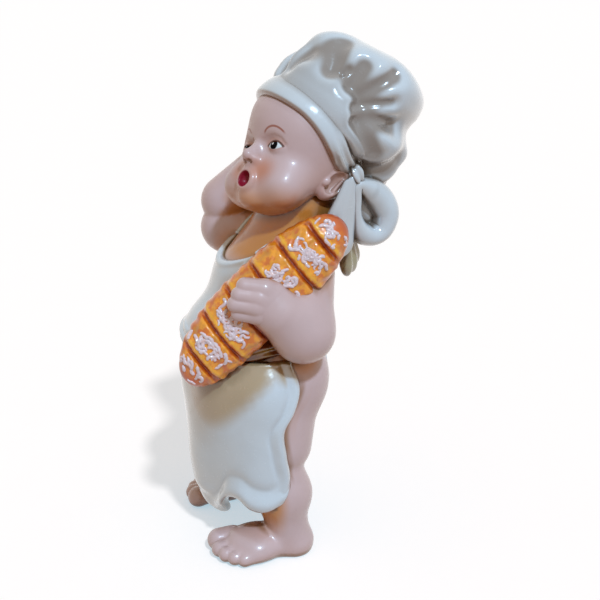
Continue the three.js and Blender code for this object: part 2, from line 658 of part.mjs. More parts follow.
function crustSolid(growth = 0) {
  const crust = (q) => {
    const thick = Math.abs((2 * q.x) / LOAF_THICKNESS) ** LOAF_ROUNDNESS;
    const droop = LOAF_DROOP * ((2 * Math.min(q.z, 0)) / LOAF_LENGTH) ** 2;
    const wide = Math.abs((2 * (q.y - droop)) / LOAF_WIDTH) ** LOAF_ROUNDNESS;
    const end = Math.abs((2 * q.z) / LOAF_LENGTH) ** LOAF_END_SQUARENESS;
    return (((thick + wide + end) ** (1 / LOAF_ROUNDNESS) - 1) * LOAF_THICKNESS) / 2 - growth;
  };
  const reach = at(LOAF_THICKNESS / 2, LOAF_WIDTH / 2, LOAF_LENGTH / 2);
  return wrap(placed(crust, loafFrame), LOAF_CENTRE, reach, LARGE_NET_STEPS - 1, loafTurn);
}

function loafSolid() {
  const crumb = crustSolid(-SLASH_DEPTH);
  let loaf = crustSolid();
  for (let i = 0; i < LOAF_SLASHES; i += 1) {
    const cut = new THREE.BoxGeometry(LOAF_THICKNESS, LOAF_WIDTH + 2 * LOAF_DROOP, SLASH_WIDTH);
    cut.translate(LOAF_THICKNESS / 2 + SLASH_DEPTH, 0, 0);
    cut.rotateX(-degrees(SLASH_SLANT));
    cut.translate(0, 0, (i - (LOAF_SLASHES - 1) / 2) * SLASH_SPACING);
    cut.applyMatrix4(loafFrame);
    loaf = loaf.subtract(solidOf(cut).subtract(crumb));
  }
  return loaf;
}

// Apron
function bibSolid() {
  const outline = new THREE.Shape();
  outline.moveTo(-BIB_HALF_WIDTH, WAISTBAND_TOP + SEAM_GAP);
  outline.lineTo(BIB_HALF_WIDTH, WAISTBAND_TOP + SEAM_GAP);
  outline.quadraticCurveTo(BIB_HALF_WIDTH, BIB_NECKLINE, BIB_TOP_HALF_WIDTH, BIB_TOP);
  outline.quadraticCurveTo(0, 2 * BIB_NECKLINE - BIB_TOP, -BIB_TOP_HALF_WIDTH, BIB_TOP);
  outline.quadraticCurveTo(-BIB_HALF_WIDTH, BIB_NECKLINE, -BIB_HALF_WIDTH, WAISTBAND_TOP + SEAM_GAP);
  const options = { depth: WORKSHOP, bevelEnabled: false, curveSegments: 8 };
  const front = new THREE.ExtrudeGeometry(outline, options);
  front.rotateX(Math.PI / 2);
  front.translate(0, BIB_BACK_LIMIT, 0);
  return torsoSolid(SEAM_GAP + BIB_THICKNESS).intersect(solidOf(front)).subtract(torsoSolid(SEAM_GAP));
}

function waistbandSolid(growth = 0) {
  const height = WAISTBAND_TOP - WAISTBAND_BOTTOM;
  const reach = at(BELLY_RADII.x, BELLY_RADII.y, height);
  const middle = BELLY.clone().setZ((WAISTBAND_TOP + WAISTBAND_BOTTOM) / 2);
  const width = solidOf(slab(WAISTBAND_BOTTOM - growth, WAISTBAND_TOP + growth));
  const outer = (p) => {
    const up = THREE.MathUtils.clamp((2 * (p.z - middle.z)) / height, -1, 1);
    const roll = WAISTBAND_THICKNESS * Math.sqrt(1 - WAISTBAND_ROUNDNESS * up * up);
    return torsoForm(p) - SEAM_GAP - roll - growth;
  };
  return wrap(outer, middle, reach, LARGE_NET_STEPS - 1).intersect(width);
}

// A value read off a list of stations by straight lines between them
function read(stations, key, place, value) {
  const next = stations.findIndex((s) => s[key] >= place);
  if (next < 0) return stations[stations.length - 1][value];
  if (next === 0) return stations[0][value];
  const a = stations[next - 1];
  const b = stations[next];
  return THREE.MathUtils.mapLinear(place, a[key], b[key], a[value], b[value]);
}

// The skirt's radius about its upright axis, at an angle from the front towards its left
function skirtRadius(angle, z) {
  const drop = WAISTBAND_BOTTOM - z;
  const side = read(SKIRT_PROFILE, "drop", drop, "side");
  const front = read(SKIRT_PROFILE, "drop", drop, "front");
  const sideways = Math.abs(Math.sin(angle) / side) ** SKIRT_SQUARENESS;
  const forwards = Math.abs(Math.cos(angle) / front) ** SKIRT_SQUARENESS;
  const fall = THREE.MathUtils.clamp(drop / WAISTBAND_BOTTOM, 0, 1);
  const fold = SKIRT_FOLD_DEPTH * fall * Math.cos((angle - degrees(SKIRT_FOLD_START)) * SKIRT_FOLDS);
  return (sideways + forwards) ** (-1 / SKIRT_SQUARENESS) + fold;
}

function skirtSolid(growth = 0) {
  const columns = SKIRT_COLUMNS;
  const rows = SKIRT_ROWS;
  const points = [];
  const faces = [];
  const top = WAISTBAND_BOTTOM - SEAM_GAP + growth;
  const count = (columns + 1) * (rows + 1);
  for (const inner of [0, 1]) {
    for (let i = 0; i <= columns; i += 1) {
      const share = (i / columns) * 2 - 1;
      const bottom = read(HEM, "angle", share * HEM_REACH, "z") - growth;
      for (let j = 0; j <= rows; j += 1) {
        const z = bottom + ((top - bottom) * j) / rows;
        const reach = read(SKIRT_PROFILE, "drop", WAISTBAND_BOTTOM - z, "wrap") + growth * 2;
        const angle = degrees(share * reach);
        const fromEdge = ((1 - Math.abs(share)) * reach) / SKIRT_EDGE_WIDTH;
        const roll = SKIRT_EDGE_ROLL * Math.exp(-(fromEdge ** 2));
        const radius = skirtRadius(angle, z) + (inner ? -SKIRT_THICKNESS - growth : roll + growth);
        points.push(radius * Math.sin(angle), SKIRT_AXIS_Y - radius * Math.cos(angle), z);
      }
    }
  }
  const quad = (a, b, c, d) => faces.push(a, b, c, a, c, d);
  const next = rows + 1;
  for (let i = 0; i < columns; i += 1) {
    for (let j = 0; j < rows; j += 1) {
      const a = i * next + j;
      quad(a, a + next, a + next + 1, a + 1);
      quad(count + a, count + a + 1, count + a + next + 1, count + a + next);
    }
    const foot = i * next;
    const head = foot + rows;
    quad(foot, count + foot, count + foot + next, foot + next);
    quad(head, head + next, count + head + next, count + head);
  }
  for (let j = 0; j < rows; j += 1) {
    const a = j;
    const b = columns * next + j;
    quad(a, a + 1, count + a + 1, count + a);
    quad(b, count + b, count + b + 1, b + 1);
  }
  const geometry = new THREE.BufferGeometry();
  geometry.setAttribute("position", new THREE.Float32BufferAttribute(points, 3));
  geometry.setIndex(faces);
  return solidOf(geometry);
}

// A point moved along a form's slope until it lies at a given distance from the surface
function settle(form, point, distance) {
  const p = point.clone();
  for (let step = 0; step < 12; step += 1) {
    const here = form(p);
    const slope = at(
      form(p.clone().add(at(0.01, 0, 0))) - here,
      form(p.clone().add(at(0, 0.01, 0))) - here,
      form(p.clone().add(at(0, 0, 0.01))) - here,
    ).normalize();
    p.addScaledVector(slope, distance - here);
  }
  return p;
}

function strapSolid() {
  const left = STRAP_ROUTE;
  const right = left.slice(0, -1).map((p) => mirrored(p, -1)).reverse();
  const route = [...left, ...right].map((p) => settle(torsoForm, p, SEAM_GAP + STRAP_PROUD));
  const curve = new THREE.CatmullRomCurve3(route, false, "centripetal");
  const section = new THREE.Shape().absarc(0, 0, STRAP_RADIUS, 0, 2 * Math.PI);
  const options = { steps: STRAP_STEPS, curveSegments: 4, bevelEnabled: false, extrudePath: curve };
  return solidOf(new THREE.ExtrudeGeometry(section, options));
}

// Assembly: each piece gives way to the ones it lies against
const figure = new THREE.Group();
const headGroup = new THREE.Group();
headGroup.applyMatrix4(headFrame);
figure.add(headGroup);
const toHead = headFrame.clone().invert();

function show(solid, name, look) {
  figure.add(meshOf(largest(solid), name, look));
}

function showOnHead(solid, name, look) {
  const mesh = meshOf(largest(solid), name, look);
  mesh.geometry.applyMatrix4(toHead);
  headGroup.add(mesh);
}

const torso = torsoSolid();
const torsoSeat = torsoSolid(SEAM_GAP);
show(torso, "torso", SKIN);

const nose = limbSolid(inFace(NOSE_BRIDGE), inFace(NOSE_TIP), ...NOSE_RADII, SMALL_NET_STEPS);
const mouth = faceBall(MOUTH, MOUTH_RADII, SMALL_NET_STEPS);
const head = without(headSolid(), torsoSeat, mouth).add(nose);
const headSeat = headSolid(SEAM_GAP);
showOnHead(head, "head", SKIN);

const band = without(bandSolid(), headSeat);
const bandSeat = bandSolid(SEAM_GAP);
showOnHead(band, "hat_band", CLOTH);
const crown = without(crownSolid(), headSeat, bandSeat);
const crownSeat = crownSolid(SEAM_GAP);
showOnHead(crown, "hat_crown", CLOTH);
showOnHead(without(earSolid(1), headSeat, bandSeat), "left_ear", SKIN);
showOnHead(without(earSolid(-1), headSeat, bandSeat), "right_ear", SKIN);
const leftEarSeat = earSolid(1, SEAM_GAP);
const rightEarSeat = earSolid(-1, SEAM_GAP);

const waistband = without(waistbandSolid(), torsoSeat);
const waistbandSeat = waistbandSolid(SEAM_GAP);
show(waistband, "apron_waistband", CLOTH);
show(bibSolid(), "apron_bib", CLOTH);
const bibSeat = torsoSolid(2 * SEAM_GAP + BIB_THICKNESS);
const bibEdge = bibSeat.intersect(solidOf(slab(0, BIB_TOP + SEAM_GAP)));
show(without(strapSolid(), torsoSeat, headSeat, bibEdge), "apron_neck_strap", CLOTH);

for (const [side, name] of [[1, "left"], [-1, "right"]]) {
  show(without(legSolid(side), torsoSeat, waistbandSeat), name + "_leg", SKIN);
}
const legSeats = [legSolid(1, SEAM_GAP), legSolid(-1, SEAM_GAP)];
const skirt = without(skirtSolid(), torsoSeat, waistbandSeat, ...legSeats);
const skirtSeat = skirtSolid(SEAM_GAP);
show(skirt, "apron_skirt", CLOTH);

const bodySeats = [torsoSeat, bibSeat, waistbandSeat, skirtSeat];
const loaf = without(loafSolid(), ...bodySeats, headSeat);
const loafSeat = crustSolid(SEAM_GAP);
show(loaf, "loaf", CRUST);

const leftArmSeat = leftArmSolid(SEAM_GAP);
show(without(leftArmSolid(), ...bodySeats, loafSeat, headSeat, ...legSeats), "left_arm", SKIN);
const leftHand = handSolid(LEFT_PALM, PALM_RADII, LEFT_KNUCKLES, FINGER_REACH);
show(without(leftHand, loafSeat, leftArmSeat, ...bodySeats), "left_hand", SKIN);

const rightArmSeat = rightArmSolid(SEAM_GAP);
show(without(rightArmSolid(), ...bodySeats, headSeat, rightEarSeat, bandSeat, crownSeat), "right_arm", SKIN);
const rightHand = handSolid(RIGHT_PALM, RIGHT_PALM_RADII, RIGHT_KNUCKLES, RIGHT_FINGER_REACH);
show(without(rightHand, rightArmSeat, headSeat, rightEarSeat, bandSeat, crownSeat), "right_hand", SKIN);

const hatSeats = [headSeat, bandSeat, crownSeat, leftEarSeat];
const neckSeats = [torsoSeat, bibSeat, loafSeat, leftArmSeat];
const knot = ballSolid(KNOT, KNOT_RADII, SMALL_NET_STEPS);
const knotSeat = ballSolid(KNOT, KNOT_RADII, SMALL_NET_STEPS, SEAM_GAP);
showOnHead(without(knot, ...hatSeats), "hat_bow_knot", CLOTH);
const strandOf = (growth) =>
  ribbonSolid(BOW_STRAND_TOP, BOW_STRAND_END, BOW_STRAND_RADII, at(1, 0, 0), SMALL_NET_STEPS, growth);
const strand = strandOf(0);
const strandSeat = strandOf(SEAM_GAP);
showOnHead(without(strand, knotSeat, ...hatSeats, ...neckSeats), "hat_bow_strand", CLOTH);
const loop = ringSolid(BOW_LOOP).add(ballSolid(BOW_LOOP_BACK, BOW_LOOP_BACK_RADII, TINY_NET_STEPS));
showOnHead(without(loop, knotSeat, strandSeat, ...hatSeats, ...neckSeats), "hat_bow_loop", CLOTH);
const wideLoop = BOW_LOOP.map((s) => ({ at: s.at, wide: s.wide + SEAM_GAP, deep: s.deep + SEAM_GAP }));
const tail = ribbonSolid(BOW_TAIL_TOP, BOW_TAIL_END, BOW_TAIL_RADII, at(1, 1, 0), SMALL_NET_STEPS);
showOnHead(without(tail, ringSolid(wideLoop), strandSeat, ...neckSeats), "hat_bow_tail", CREAM);

const backKnotSeat = ballSolid(BACK_KNOT, BACK_KNOT_RADII, SMALL_NET_STEPS, SEAM_GAP);
const backKnot = ballSolid(BACK_KNOT, BACK_KNOT_RADII, SMALL_NET_STEPS);
show(without(backKnot, waistbandSeat, torsoSeat), "apron_bow_knot", CLOTH);
for (const [side, name] of [[1, "left"], [-1, "right"]]) {
  const seats = [backKnotSeat, waistbandSeat, torsoSeat, ...legSeats, skirtSeat];
  const backLoop = ballSolid(mirrored(BACK_LOOP, side), BACK_LOOP_RADII, SMALL_NET_STEPS);
  show(without(backLoop, ...seats, leftArmSeat), "apron_bow_loop_" + name, CLOTH);
  const loopSeat = ballSolid(mirrored(BACK_LOOP, side), BACK_LOOP_RADII, SMALL_NET_STEPS, SEAM_GAP);
  const start = mirrored(BACK_TAIL_TOP, side);
  const end = mirrored(BACK_TAIL_END, side);
  const backTail = ribbonSolid(start, end, BACK_TAIL_RADII, at(0, 1, 0), SMALL_NET_STEPS);
  show(without(backTail, ...seats, loopSeat), "apron_bow_tail_" + name, CLOTH);
}

// The frame's origin is the middle of the ground under the figure
const box = new THREE.Box3().setFromObject(figure, true);
const middle = box.getCenter(at(0, 0, 0));
figure.position.set(-middle.x, -middle.y, -box.min.z);
const root = new THREE.Group();
root.add(figure);
root.updateMatrixWorld(true);

export default root;
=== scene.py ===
# Looks of a glazed ceramic figurine: a small child in a baker's hat and apron who hugs a long loaf.
# Forms are drawn in millimetres in the figure's own frame: +Z up, facing -Y, its own left side +X.
import math

import bpy
import numpy as np
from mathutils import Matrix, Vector


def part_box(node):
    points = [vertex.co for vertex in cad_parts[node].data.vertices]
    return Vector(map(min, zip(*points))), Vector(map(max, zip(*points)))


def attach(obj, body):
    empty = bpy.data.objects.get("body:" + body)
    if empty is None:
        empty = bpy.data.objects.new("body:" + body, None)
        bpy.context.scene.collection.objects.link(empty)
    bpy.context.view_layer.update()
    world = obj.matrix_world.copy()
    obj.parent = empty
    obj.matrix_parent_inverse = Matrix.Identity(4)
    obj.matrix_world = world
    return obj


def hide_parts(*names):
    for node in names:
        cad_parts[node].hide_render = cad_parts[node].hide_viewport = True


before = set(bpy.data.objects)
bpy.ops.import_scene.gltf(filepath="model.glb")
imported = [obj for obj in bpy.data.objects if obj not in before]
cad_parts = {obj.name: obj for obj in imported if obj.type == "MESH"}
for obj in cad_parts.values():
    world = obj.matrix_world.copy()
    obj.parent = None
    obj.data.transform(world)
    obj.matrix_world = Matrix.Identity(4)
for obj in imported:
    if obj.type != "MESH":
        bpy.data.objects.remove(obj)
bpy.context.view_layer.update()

MM = 0.001

# Net spacing of the modelled surfaces, in millimetres
COARSENESS = 1.0
CELL_FACE = 0.5 * COARSENESS
CELL_BODY = 0.75 * COARSENESS
CELL_CLOTH = 0.6 * COARSENESS
CELL_LOAF = 0.5 * COARSENESS
BLOCK = 12  # cells of a net that are measured together


def at(x, y, z):
    return np.array((x, y, z), float)


def mirrored(point, side):
    return point * (side, 1, 1)


def halfway(ends):
    return (ends[0] + ends[1]) / 2


# Legs: places are the left leg's, and the right leg mirrors them
HIP = at(14, -6, 72)
KNEE = at(20.5, -9.8, 44)
THIGH_RADII = (15, 12.5)
THIGH_SWELL = at(17.5, -2, 68)
THIGH_SWELL_RADII = (12.5, 12, 14)
SHIN_TOP = at(23, -10.5, 33)
ANKLE = at(24.5, -7.8, 10)
SHIN_RADII = (9.5, 8.2)
CALF = at(24, -9, 24.5)
CALF_RADII = (10.5, 10.8, 10)
HEEL = at(24.5, -5.7, 4)
HEEL_RADII = (8.3, 7.2, 7.3)
FOREFOOT = at(24, -20, 4.5)
FOREFOOT_RADII = (10.3, 10, 6.5)
INSTEP_END = at(22.5, -25, 4.5)
INSTEP_RADII = (7.1, 5.5)
TOE_ROOT = at(0, 5.5, 0.8)
TOE_TAPER = 0.9
THIGH_BLEND = 5
SHIN_BLEND = 4
KNEE_BLEND = 1.6  # little, which leaves a crease under the knee
ANKLE_BLEND = 2
TOE_BLEND = 1.4
DIGIT_BLEND = 0.3
SOLE_EDGE = 1
TOES = [
    (at(17, -33, 4.2), 4.3),
    (at(22.4, -33.8, 3.5), 3.2),
    (at(26.3, -32.3, 3.2), 3.0),
    (at(29.4, -29.8, 3.0), 2.8),
    (at(31.6, -26.6, 2.8), 2.7),
]

# Torso
BELLY = at(0, -17, 80)
BELLY_RADII = (23, 21, 18)
CHEST = at(0, -10, 100.5)
CHEST_RADII = (20, 16.5, 18)
BUTTOCK = at(9, 0, 67)
BUTTOCK_RADII = (13.5, 12.5, 13)
SHOULDER = at(14, -0.5, 112)
SHOULDER_RADIUS = 11
NECK = (at(0, 1, 112), at(2.2, 4, 129))
NECK_RADII = (17, 14.5)
TORSO_BLEND = 8
BUTTOCK_BLEND = 2.5
ARM_TO_TORSO_BLEND = 3
LEG_TO_TORSO_BLEND = 2.5

# Arms and hands
LEFT_ARM = (at(24, -0.5, 110), at(33, -4.2, 92.5), at(34, -13, 101))
LEFT_ARM_RADII = (10.5, 10.3, 9)
LEFT_PALM = at(34.5, -17, 105)
LEFT_PALM_RADII = (6.2, 8.5, 8.6)
LEFT_FINGER = at(-2.4, -6.2, 0.8)
LEFT_KNUCKLES = [
    (at(36, -19, 111), 2.9),
    (at(36.6, -21.2, 108.2), 2.8),
    (at(36.6, -22.6, 105), 2.8),
    (at(36.4, -21.6, 101.5), 2.5),
]
LEFT_ELBOW_BLEND = 5
LEFT_WRIST_BLEND = 2.2
RIGHT_UPPER_ARM = (at(-18, 1, 111), at(-31, -14.5, 114))
RIGHT_UPPER_RADII = (10, 10.5)
RIGHT_FOREARM = (at(-31.5, -14.5, 124.5), at(-26, 0, 140))
RIGHT_FOREARM_RADII = (10, 8)
RIGHT_ELBOW_BLEND = 0.8
RIGHT_WRIST_BLEND = 2.5
RIGHT_PALM = at(-24, 6, 147)
RIGHT_PALM_RADII = (5.5, 8, 8)
RIGHT_FINGER = at(1.5, 6.5, 3.5)
RIGHT_KNUCKLES = [
    (at(-24.5, 7, 152.5), 2.6),
    (at(-24.5, 9.5, 149.5), 2.7),
    (at(-24.5, 10.8, 146), 2.7),
    (at(-24.5, 10.2, 142.5), 2.4),
]
FINGER_ROOT = 1.08  # a finger's radius where it starts, as a share of its tip's
PALM_BLEND = 1.8
FINGER_BLEND = 0.25
HAND_PROUD = 0.12  # how far a hand stands out of the arm's own net

# Head: all but its centre is in the head's own frame, which looks along its -Y
HEAD_CENTRE = at(2.4, 2.5, 149.5)
HEAD_YAW = 23
HEAD_PITCH = 15.5
HEAD_ROLL = 10
HEAD_BLEND = 7
CRANIUM = at(0, 4, 8.2)
CRANIUM_RADII = (20.1, 20.4, 18.5)
FOREHEAD = at(0, -3.5, 9.5)
FOREHEAD_RADII = (15.9, 13.6, 13)
JAW = at(0, -2.1, -4.5)
JAW_RADII = (17.8, 13.7, 13)
EAR = at(18.4, 4.6, -5)
EAR_RADII = (3, 5, 7.2)
EAR_BOWL = at(2.7, -0.7, 0.8)  # this and the next places are from the ear's centre, +X outwards
EAR_BOWL_RADII = (2.5, 3.3, 5.1)
EAR_FOLD = (at(1.4, 1.5, -1.5), at(1.3, 0.9, 3.2))
EAR_FOLD_RADII = (0.8, 0.6)
TRAGUS = at(1.9, -3.3, -1.6)
TRAGUS_RADII = (1.0, 1.2, 1.7)
EAR_CANAL = at(1.2, -1.6, -2.2)
EAR_CANAL_RADII = (1.3, 1.0, 1.2)
EAR_SPLAY = 18
EAR_TILT = 36

# Face: it looks further up and to its left than the skull, in a frame of its own
FACE_CENTRE = HEAD_CENTRE + (-0.1, -1.6, -4.7)
FACE_YAW = 28
FACE_PITCH = 28
FACE_ROLL = -7.6
CHEEK = at(9.2, -9.6, -10.8)
CHEEK_RADII = (8, 8, 8.2)
MANDIBLE = at(0, -6, -11.5)
MANDIBLE_RADII = (12, 9, 9)
CHIN = at(0, -13.2, -16.4)
CHIN_RADII = (5.6, 5.4, 4.4)
MUZZLE = at(0, -12.4, -9)
MUZZLE_RADII = (6.4, 7.2, 8.5)
MUZZLE_BLEND = 4
CHEEK_BLEND = 4.4
FACE_BLEND = 6
NOSE_BRIDGE = at(0, -16.2, 1.2)
NOSE_TIP = at(0, -20.9, -3.2)
NOSE_RADII = (1.5, 2.0)
NOSE_WING = at(1.8, -18.8, -4.2)
NOSE_WING_RADII = (1.3, 1.7, 1.2)
NOSTRIL = at(1.2, -20.6, -5.4)
NOSTRIL_RADII = (0.7, 1.2, 0.6)
MOUTH_FOLD = [(3.6, -7), (4.2, -12), (4.6, -17)]  # beside the mouth, seen from ahead
LIPS = at(0, -19, -11.6)
LIP_RADII = (2.9, 2.9)
LIP_THICKNESS = 1.1
MOUTH = at(0, -21, -11.6)
MOUTH_RADII = (2.6, 3.8, 2.8)
EYE = at(8.0, 0, 1.5)  # seen from ahead; its depth is the face's own
EYE_TILT = 5
SOCKET = at(-1.2, -2, -0.6)  # from the eye's spot on the face
SOCKET_RADII = (5.2, 2.9, 3.4)
EYEBALL_DEPTH = 4.4
EYEBALL_RADII = (4.4, 4.6, 3.4)
FAR_LID = 0.9  # how far the right eye's lids have closed, in a smile
LID_FOLD = [(-3.2, -0.3), (-2.0, 2.0), (0.2, 2.9), (2.6, 2.3), (4.2, 0.6)]
BLUSH = at(5.4, 0, -7.8)
BLUSH_RADII = (6.4, 6.6)
BROW = at(8.4, 0, 1.4)  # centre of the oval whose top is the brow
BROW_RADII = (5.6, 6.2)
BROW_MIDDLE = at(8, 0, 8.2)
BROW_REACH = (6, 3.6)
BROW_TILT = 4

# Hat: its frame stands on the band's lower edge at the brow, with +Z up through the crown
BROW_POINT = at(0, -17.5, 18)
HAT_TILT = 31
HAT_AXIS_Y = 23.5  # how far behind the brow point the hat's axis stands
BAND_WIDTH = 17.5
BAND_DROP = 4.6  # how far its lower edge comes down at the knot
BAND_RISE = 11.5  # and its upper edge, towards the lower one
BAND_THICKNESS = 1.2
BAND_ROLL = 1.4
BAND_SPLIT = 0.7  # where its fold lies, as a share of its width
KNOT_ANGLE = 110  # round the hat from the brow towards the left ear, in degrees
CROWN_BASE = at(1, 20.5, 160.5)
CROWN_BASE_AXIS = at(-0.05, 0.68, 0.73)
CROWN_BASE_RADII = (25.8, 29.5, 12)
CROWN_TOP = at(1, 28.5, 173.5)
CROWN_TOP_AXIS = at(-0.05, 0.53, 0.845)
CROWN_TOP_RADII = (23.8, 24.5, 12)
CROWN_NAPE = at(1, 29, 142.5)
CROWN_NAPE_RADII = (15, 10, 13)
CROWN_BLEND = 7
CROWN_SQUARENESS = 2.5
CROWN_SHOULDER = 1.4
CROWN_SWELL = 0.5
CROWN_SWELLS = 5
CROWN_REACH = 27  # the crown's radius where its hollows are measured
# Each hollow runs from one angle and height to another, with its half width and its depth
CROWN_HOLLOWS = [
    ((-12, 13), (-6, 21), 4.0, 1.3),
    ((3, 19), (6, 25), 5.0, 1.2),
    ((26, 19), (19, 28), 5.4, 2.4),
    ((36, 20), (37, 22), 1.6, 1.0),
    ((47, 18), (46, 26), 3.8, 2.2),
    ((59, 18), (68, 31), 3.4, 2.3),
    ((60, 13), (80, 24), 2.2, 1.7),
    ((74, 13.5), (97, 19), 3.6, 2.4),
    ((69, 10), (101, 8), 3.2, 2.4),
    ((118, 4), (124, 14), 4.8, 2.2),
]
# strength of the painted shade in the crown's hollows
HOLLOW_SHADE = 0.95
BACK_HOLLOWS = 8
BACK_HOLLOW_SPAN = (140, 336)
BACK_HOLLOW = (3.2, 2.2)  # half width and depth

# Bow of the hat, tied behind the left ear
KNOT = at(18.5, 20.3, 143.6)
KNOT_RADII = (2.5, 2.6, 3.8)
BOW_LOOP = [
    (at(18.2, 21.1, 139.6), 2.4, 2.6),
    (at(17.8, 20.2, 134.3), 2.2, 3.0),
    (at(17.6, 20.2, 128), 2.5, 3.6),
    (at(17, 22.3, 122.4), 4.0, 4.8),
    (at(15.5, 26.8, 120.0), 4.1, 5.0),
    (at(14.6, 31.3, 121.5), 4.4, 5.2),
    (at(14.2, 33.3, 126.8), 5.0, 5.6),
    (at(14.4, 31.3, 132.1), 5.3, 5.6),
    (at(16, 27.0, 136.6), 4.6, 4.4),
]
BOW_LOOP_BACK = at(12.4, 26.7, 129)
BOW_LOOP_BACK_RADII = (2.2, 7.5, 9)
BOW_STRAND = (at(19.5, 18, 141), at(19.8, 11.8, 120))
BOW_STRAND_RADII = (2.4, 7.2)
BOW_TAIL = (at(14, 19.6, 116.3), at(11.5, 20.9, 110.2))
BOW_TAIL_RADII = (4.2, 6)
RIBBON_FLATNESS = 0.45

# Loaf
LOAF_CENTRE = at(26.5, -18, 103.9)
LOAF_AXIS = at(5.2, 22, 21.7)
LOAF_FACE = at(1, -0.3, 0.25)
LOAF_SIZE = (16.8, 25, 80)  # thickness, width, length
LOAF_DROOP = 3.2  # how far its lower end hangs
LOAF_ROUNDNESS = 2.2
LOAF_END_SQUARENESS = 2.8
SLASHES = 6
SLASH_SPACING = 12
SLASH_SLANT = 5
SLASH_DEPTH = 1.6
SLASH_WIDTH = 0.75
SLASH_LIP = 2.1  # from the slash's middle
SLASH_RISE = math.tan(math.radians(SLASH_SLANT))
LIP_HEIGHT = 0.3
CRUST_LUMP = 0.2
ICING_SEED = 11
ICING_STROKES = 44
ICING_STEP = 0.8
ICING_RADIUS = (0.48, 0.95)

# Apron
BIB_THICKNESS = 1.9
BIB_TOP = 116
BIB_NECKLINE = 111.5
BIB_TOP_HALF_WIDTH = 14
BIB_HALF_WIDTH = 18.5
BIB_BACK_LIMIT = -7
SASH_TOP = 88
SASH_BOTTOM = 79
SASH_THICKNESS = 3
SKIRT_AXIS_Y = -8
SKIRT_SQUARENESS = 2.3
SKIRT_THICKNESS = 3
SKIRT_FOLDS = 5.8  # in a whole turn
SKIRT_FOLD_DEPTH = 2.3
SKIRT_FOLD_START = 12  # angle of a fold's crest
SKIRT_TUCKS = 9
SKIRT_TUCK_DEPTH = 0.6
SKIRT_TUCK_HEIGHT = 68
HEM_ROLL = 1.4
SIDE_BEAD = 1
DEGREE_RUN = 0.55  # length of a degree round the skirt
SKIRT_HEIGHTS = (4, 9, 14, 20, 28, 34, 45, 56, 63, 71, 79)
SKIRT_SIDES = (27.5, 29, 31, 33, 34, 34.5, 35, 35.2, 35.2, 33.8, 29.5)
SKIRT_FRONTS = (17.5, 19.5, 23, 27.5, 29.5, 30.5, 31.5, 32.5, 33, 33, 31.5)
SKIRT_WRAPS = (76, 78, 79, 81, 86, 88, 85.5, 84.5, 91, 95, 92)
HEM_ANGLES = (-90, -76, -60, -44, -28, -8, 12, 26, 36, 46, 55, 66, 78, 90)
HEM_HEIGHTS = (27, 22.5, 23, 21, 14.5, 12, 10.5, 10.5, 15, 24, 26, 23, 22.5, 27)
HEM_REACH = 88
STRAP_ROUTE = [
    at(13, -15, 116),
    at(16.5, -6, 121),
    at(17, 4, 123),
    at(10, 15, 124.5),
    at(1.5, 18, 125),
]
STRAP_RADII = (1.1, 0.8)
BACK_KNOT = at(0, 11.4, 83)
BACK_KNOT_RADII = (3.6, 3.2, 4.2)
BACK_LOOP = at(9.5, 9.6, 82.5)
BACK_LOOP_RADII = (8, 3.8, 5.8)
BACK_TAIL = (at(2.6, 12.2, 78), at(4.8, 13, 63))
BACK_TAIL_RADII = (2.4, 4)

# How far from a surface its glaze looks for others, for creases, recesses and covered places
CREASE_REACH = 1.0
RECESS_REACH = 4.0
COVER_REACHES = (9.0, 15.0)

# Painted shade and shadow: where they start and where they are full, in millimetres
LOAF_SHADE_REACH = (13, 4)
RIGHT_SHADE = 0.5
NECK_SHADE_HEIGHTS = (108, 116)
NECK_SHADE_DEPTHS = (9, 2)
NECK_SHADE_HALF_WIDTH = 18
SHIN_SHADOW_SPAN = (14, 34)
SHIN_SHADOW_DEPTHS = (-9, -15)
RIGHT_ARM_SHADE = (-24, -40)
FOOT_SHADE_HEIGHTS = (16, 36)
JAW_SHADE_HEIGHTS = (-10, -21)

# Glaze colours, linear
SKIN = (0.60, 0.435, 0.445)
# blush of the cheeks, and also the painted shade over the eyelids and on the raised right arm
SKIN_FLUSH_AND_SHADE = (0.53, 0.22, 0.145)
# ochre painted shade on the skin: under the chin and jaw, down the shins, and where it is covered or faces
# down
SKIN_SHADE = (0.54, 0.195, 0.014)
CLOTH = (0.60, 0.67, 0.75)
# ochre painted shade on the cloth where it is covered or faces down
CLOTH_BROAD_SHADE = (0.38, 0.21, 0.02)
# deep colours of the painted shade in recesses and creases; OCHRE also draws the line along the band's lower
# edge
CLOTH_SHADE = (0.19, 0.13, 0.09)
CREAM = (0.42, 0.38, 0.22)
OCHRE = (0.26, 0.10, 0.018)
OLIVE = (0.27, 0.19, 0.09)
CRUST = (0.88, 0.33, 0.008)
CRUST_EDGE = (0.66, 0.11, 0.004)
# CRUST_DARK is painted shade in the crust's recesses; CRUST_DEEP is the slashes' cut and painted shade in its
# creases
CRUST_DARK = (0.50, 0.075, 0.004)
CRUST_DEEP = (0.30, 0.03, 0.003)
CRUST_LIP = (0.92, 0.42, 0.012)
ICING = (0.78, 0.64, 0.70)
LIP = (0.26, 0.008, 0.025)
# BROWN: iron specks and the lid line, and also the painted shade in the sash's folds
BROWN = (0.20, 0.045, 0.015)
BLACK = (0.006, 0.005, 0.006)
EYE_WHITE = (0.72, 0.80, 0.86)
GLINT = (0.9, 0.9, 0.9)
BROW_PAINT = (0.30, 0.075, 0.035)
ICING_FLUSH = (0.85, 0.45, 0.35)


# Forms: a form gives the distance of each point of a list to its surface, negative inside
def ball(centre, radii):
    radii = np.asarray(radii, float)
    if radii.ndim == 0:
        radii = np.full(3, float(radii))

    def form(points):
        near = (points - centre) / radii
        reach = np.linalg.norm(near, axis=-1)
        slope = np.linalg.norm(near / radii, axis=-1)
        return reach * (reach - 1) / np.maximum(slope, 1e-9)

    return form


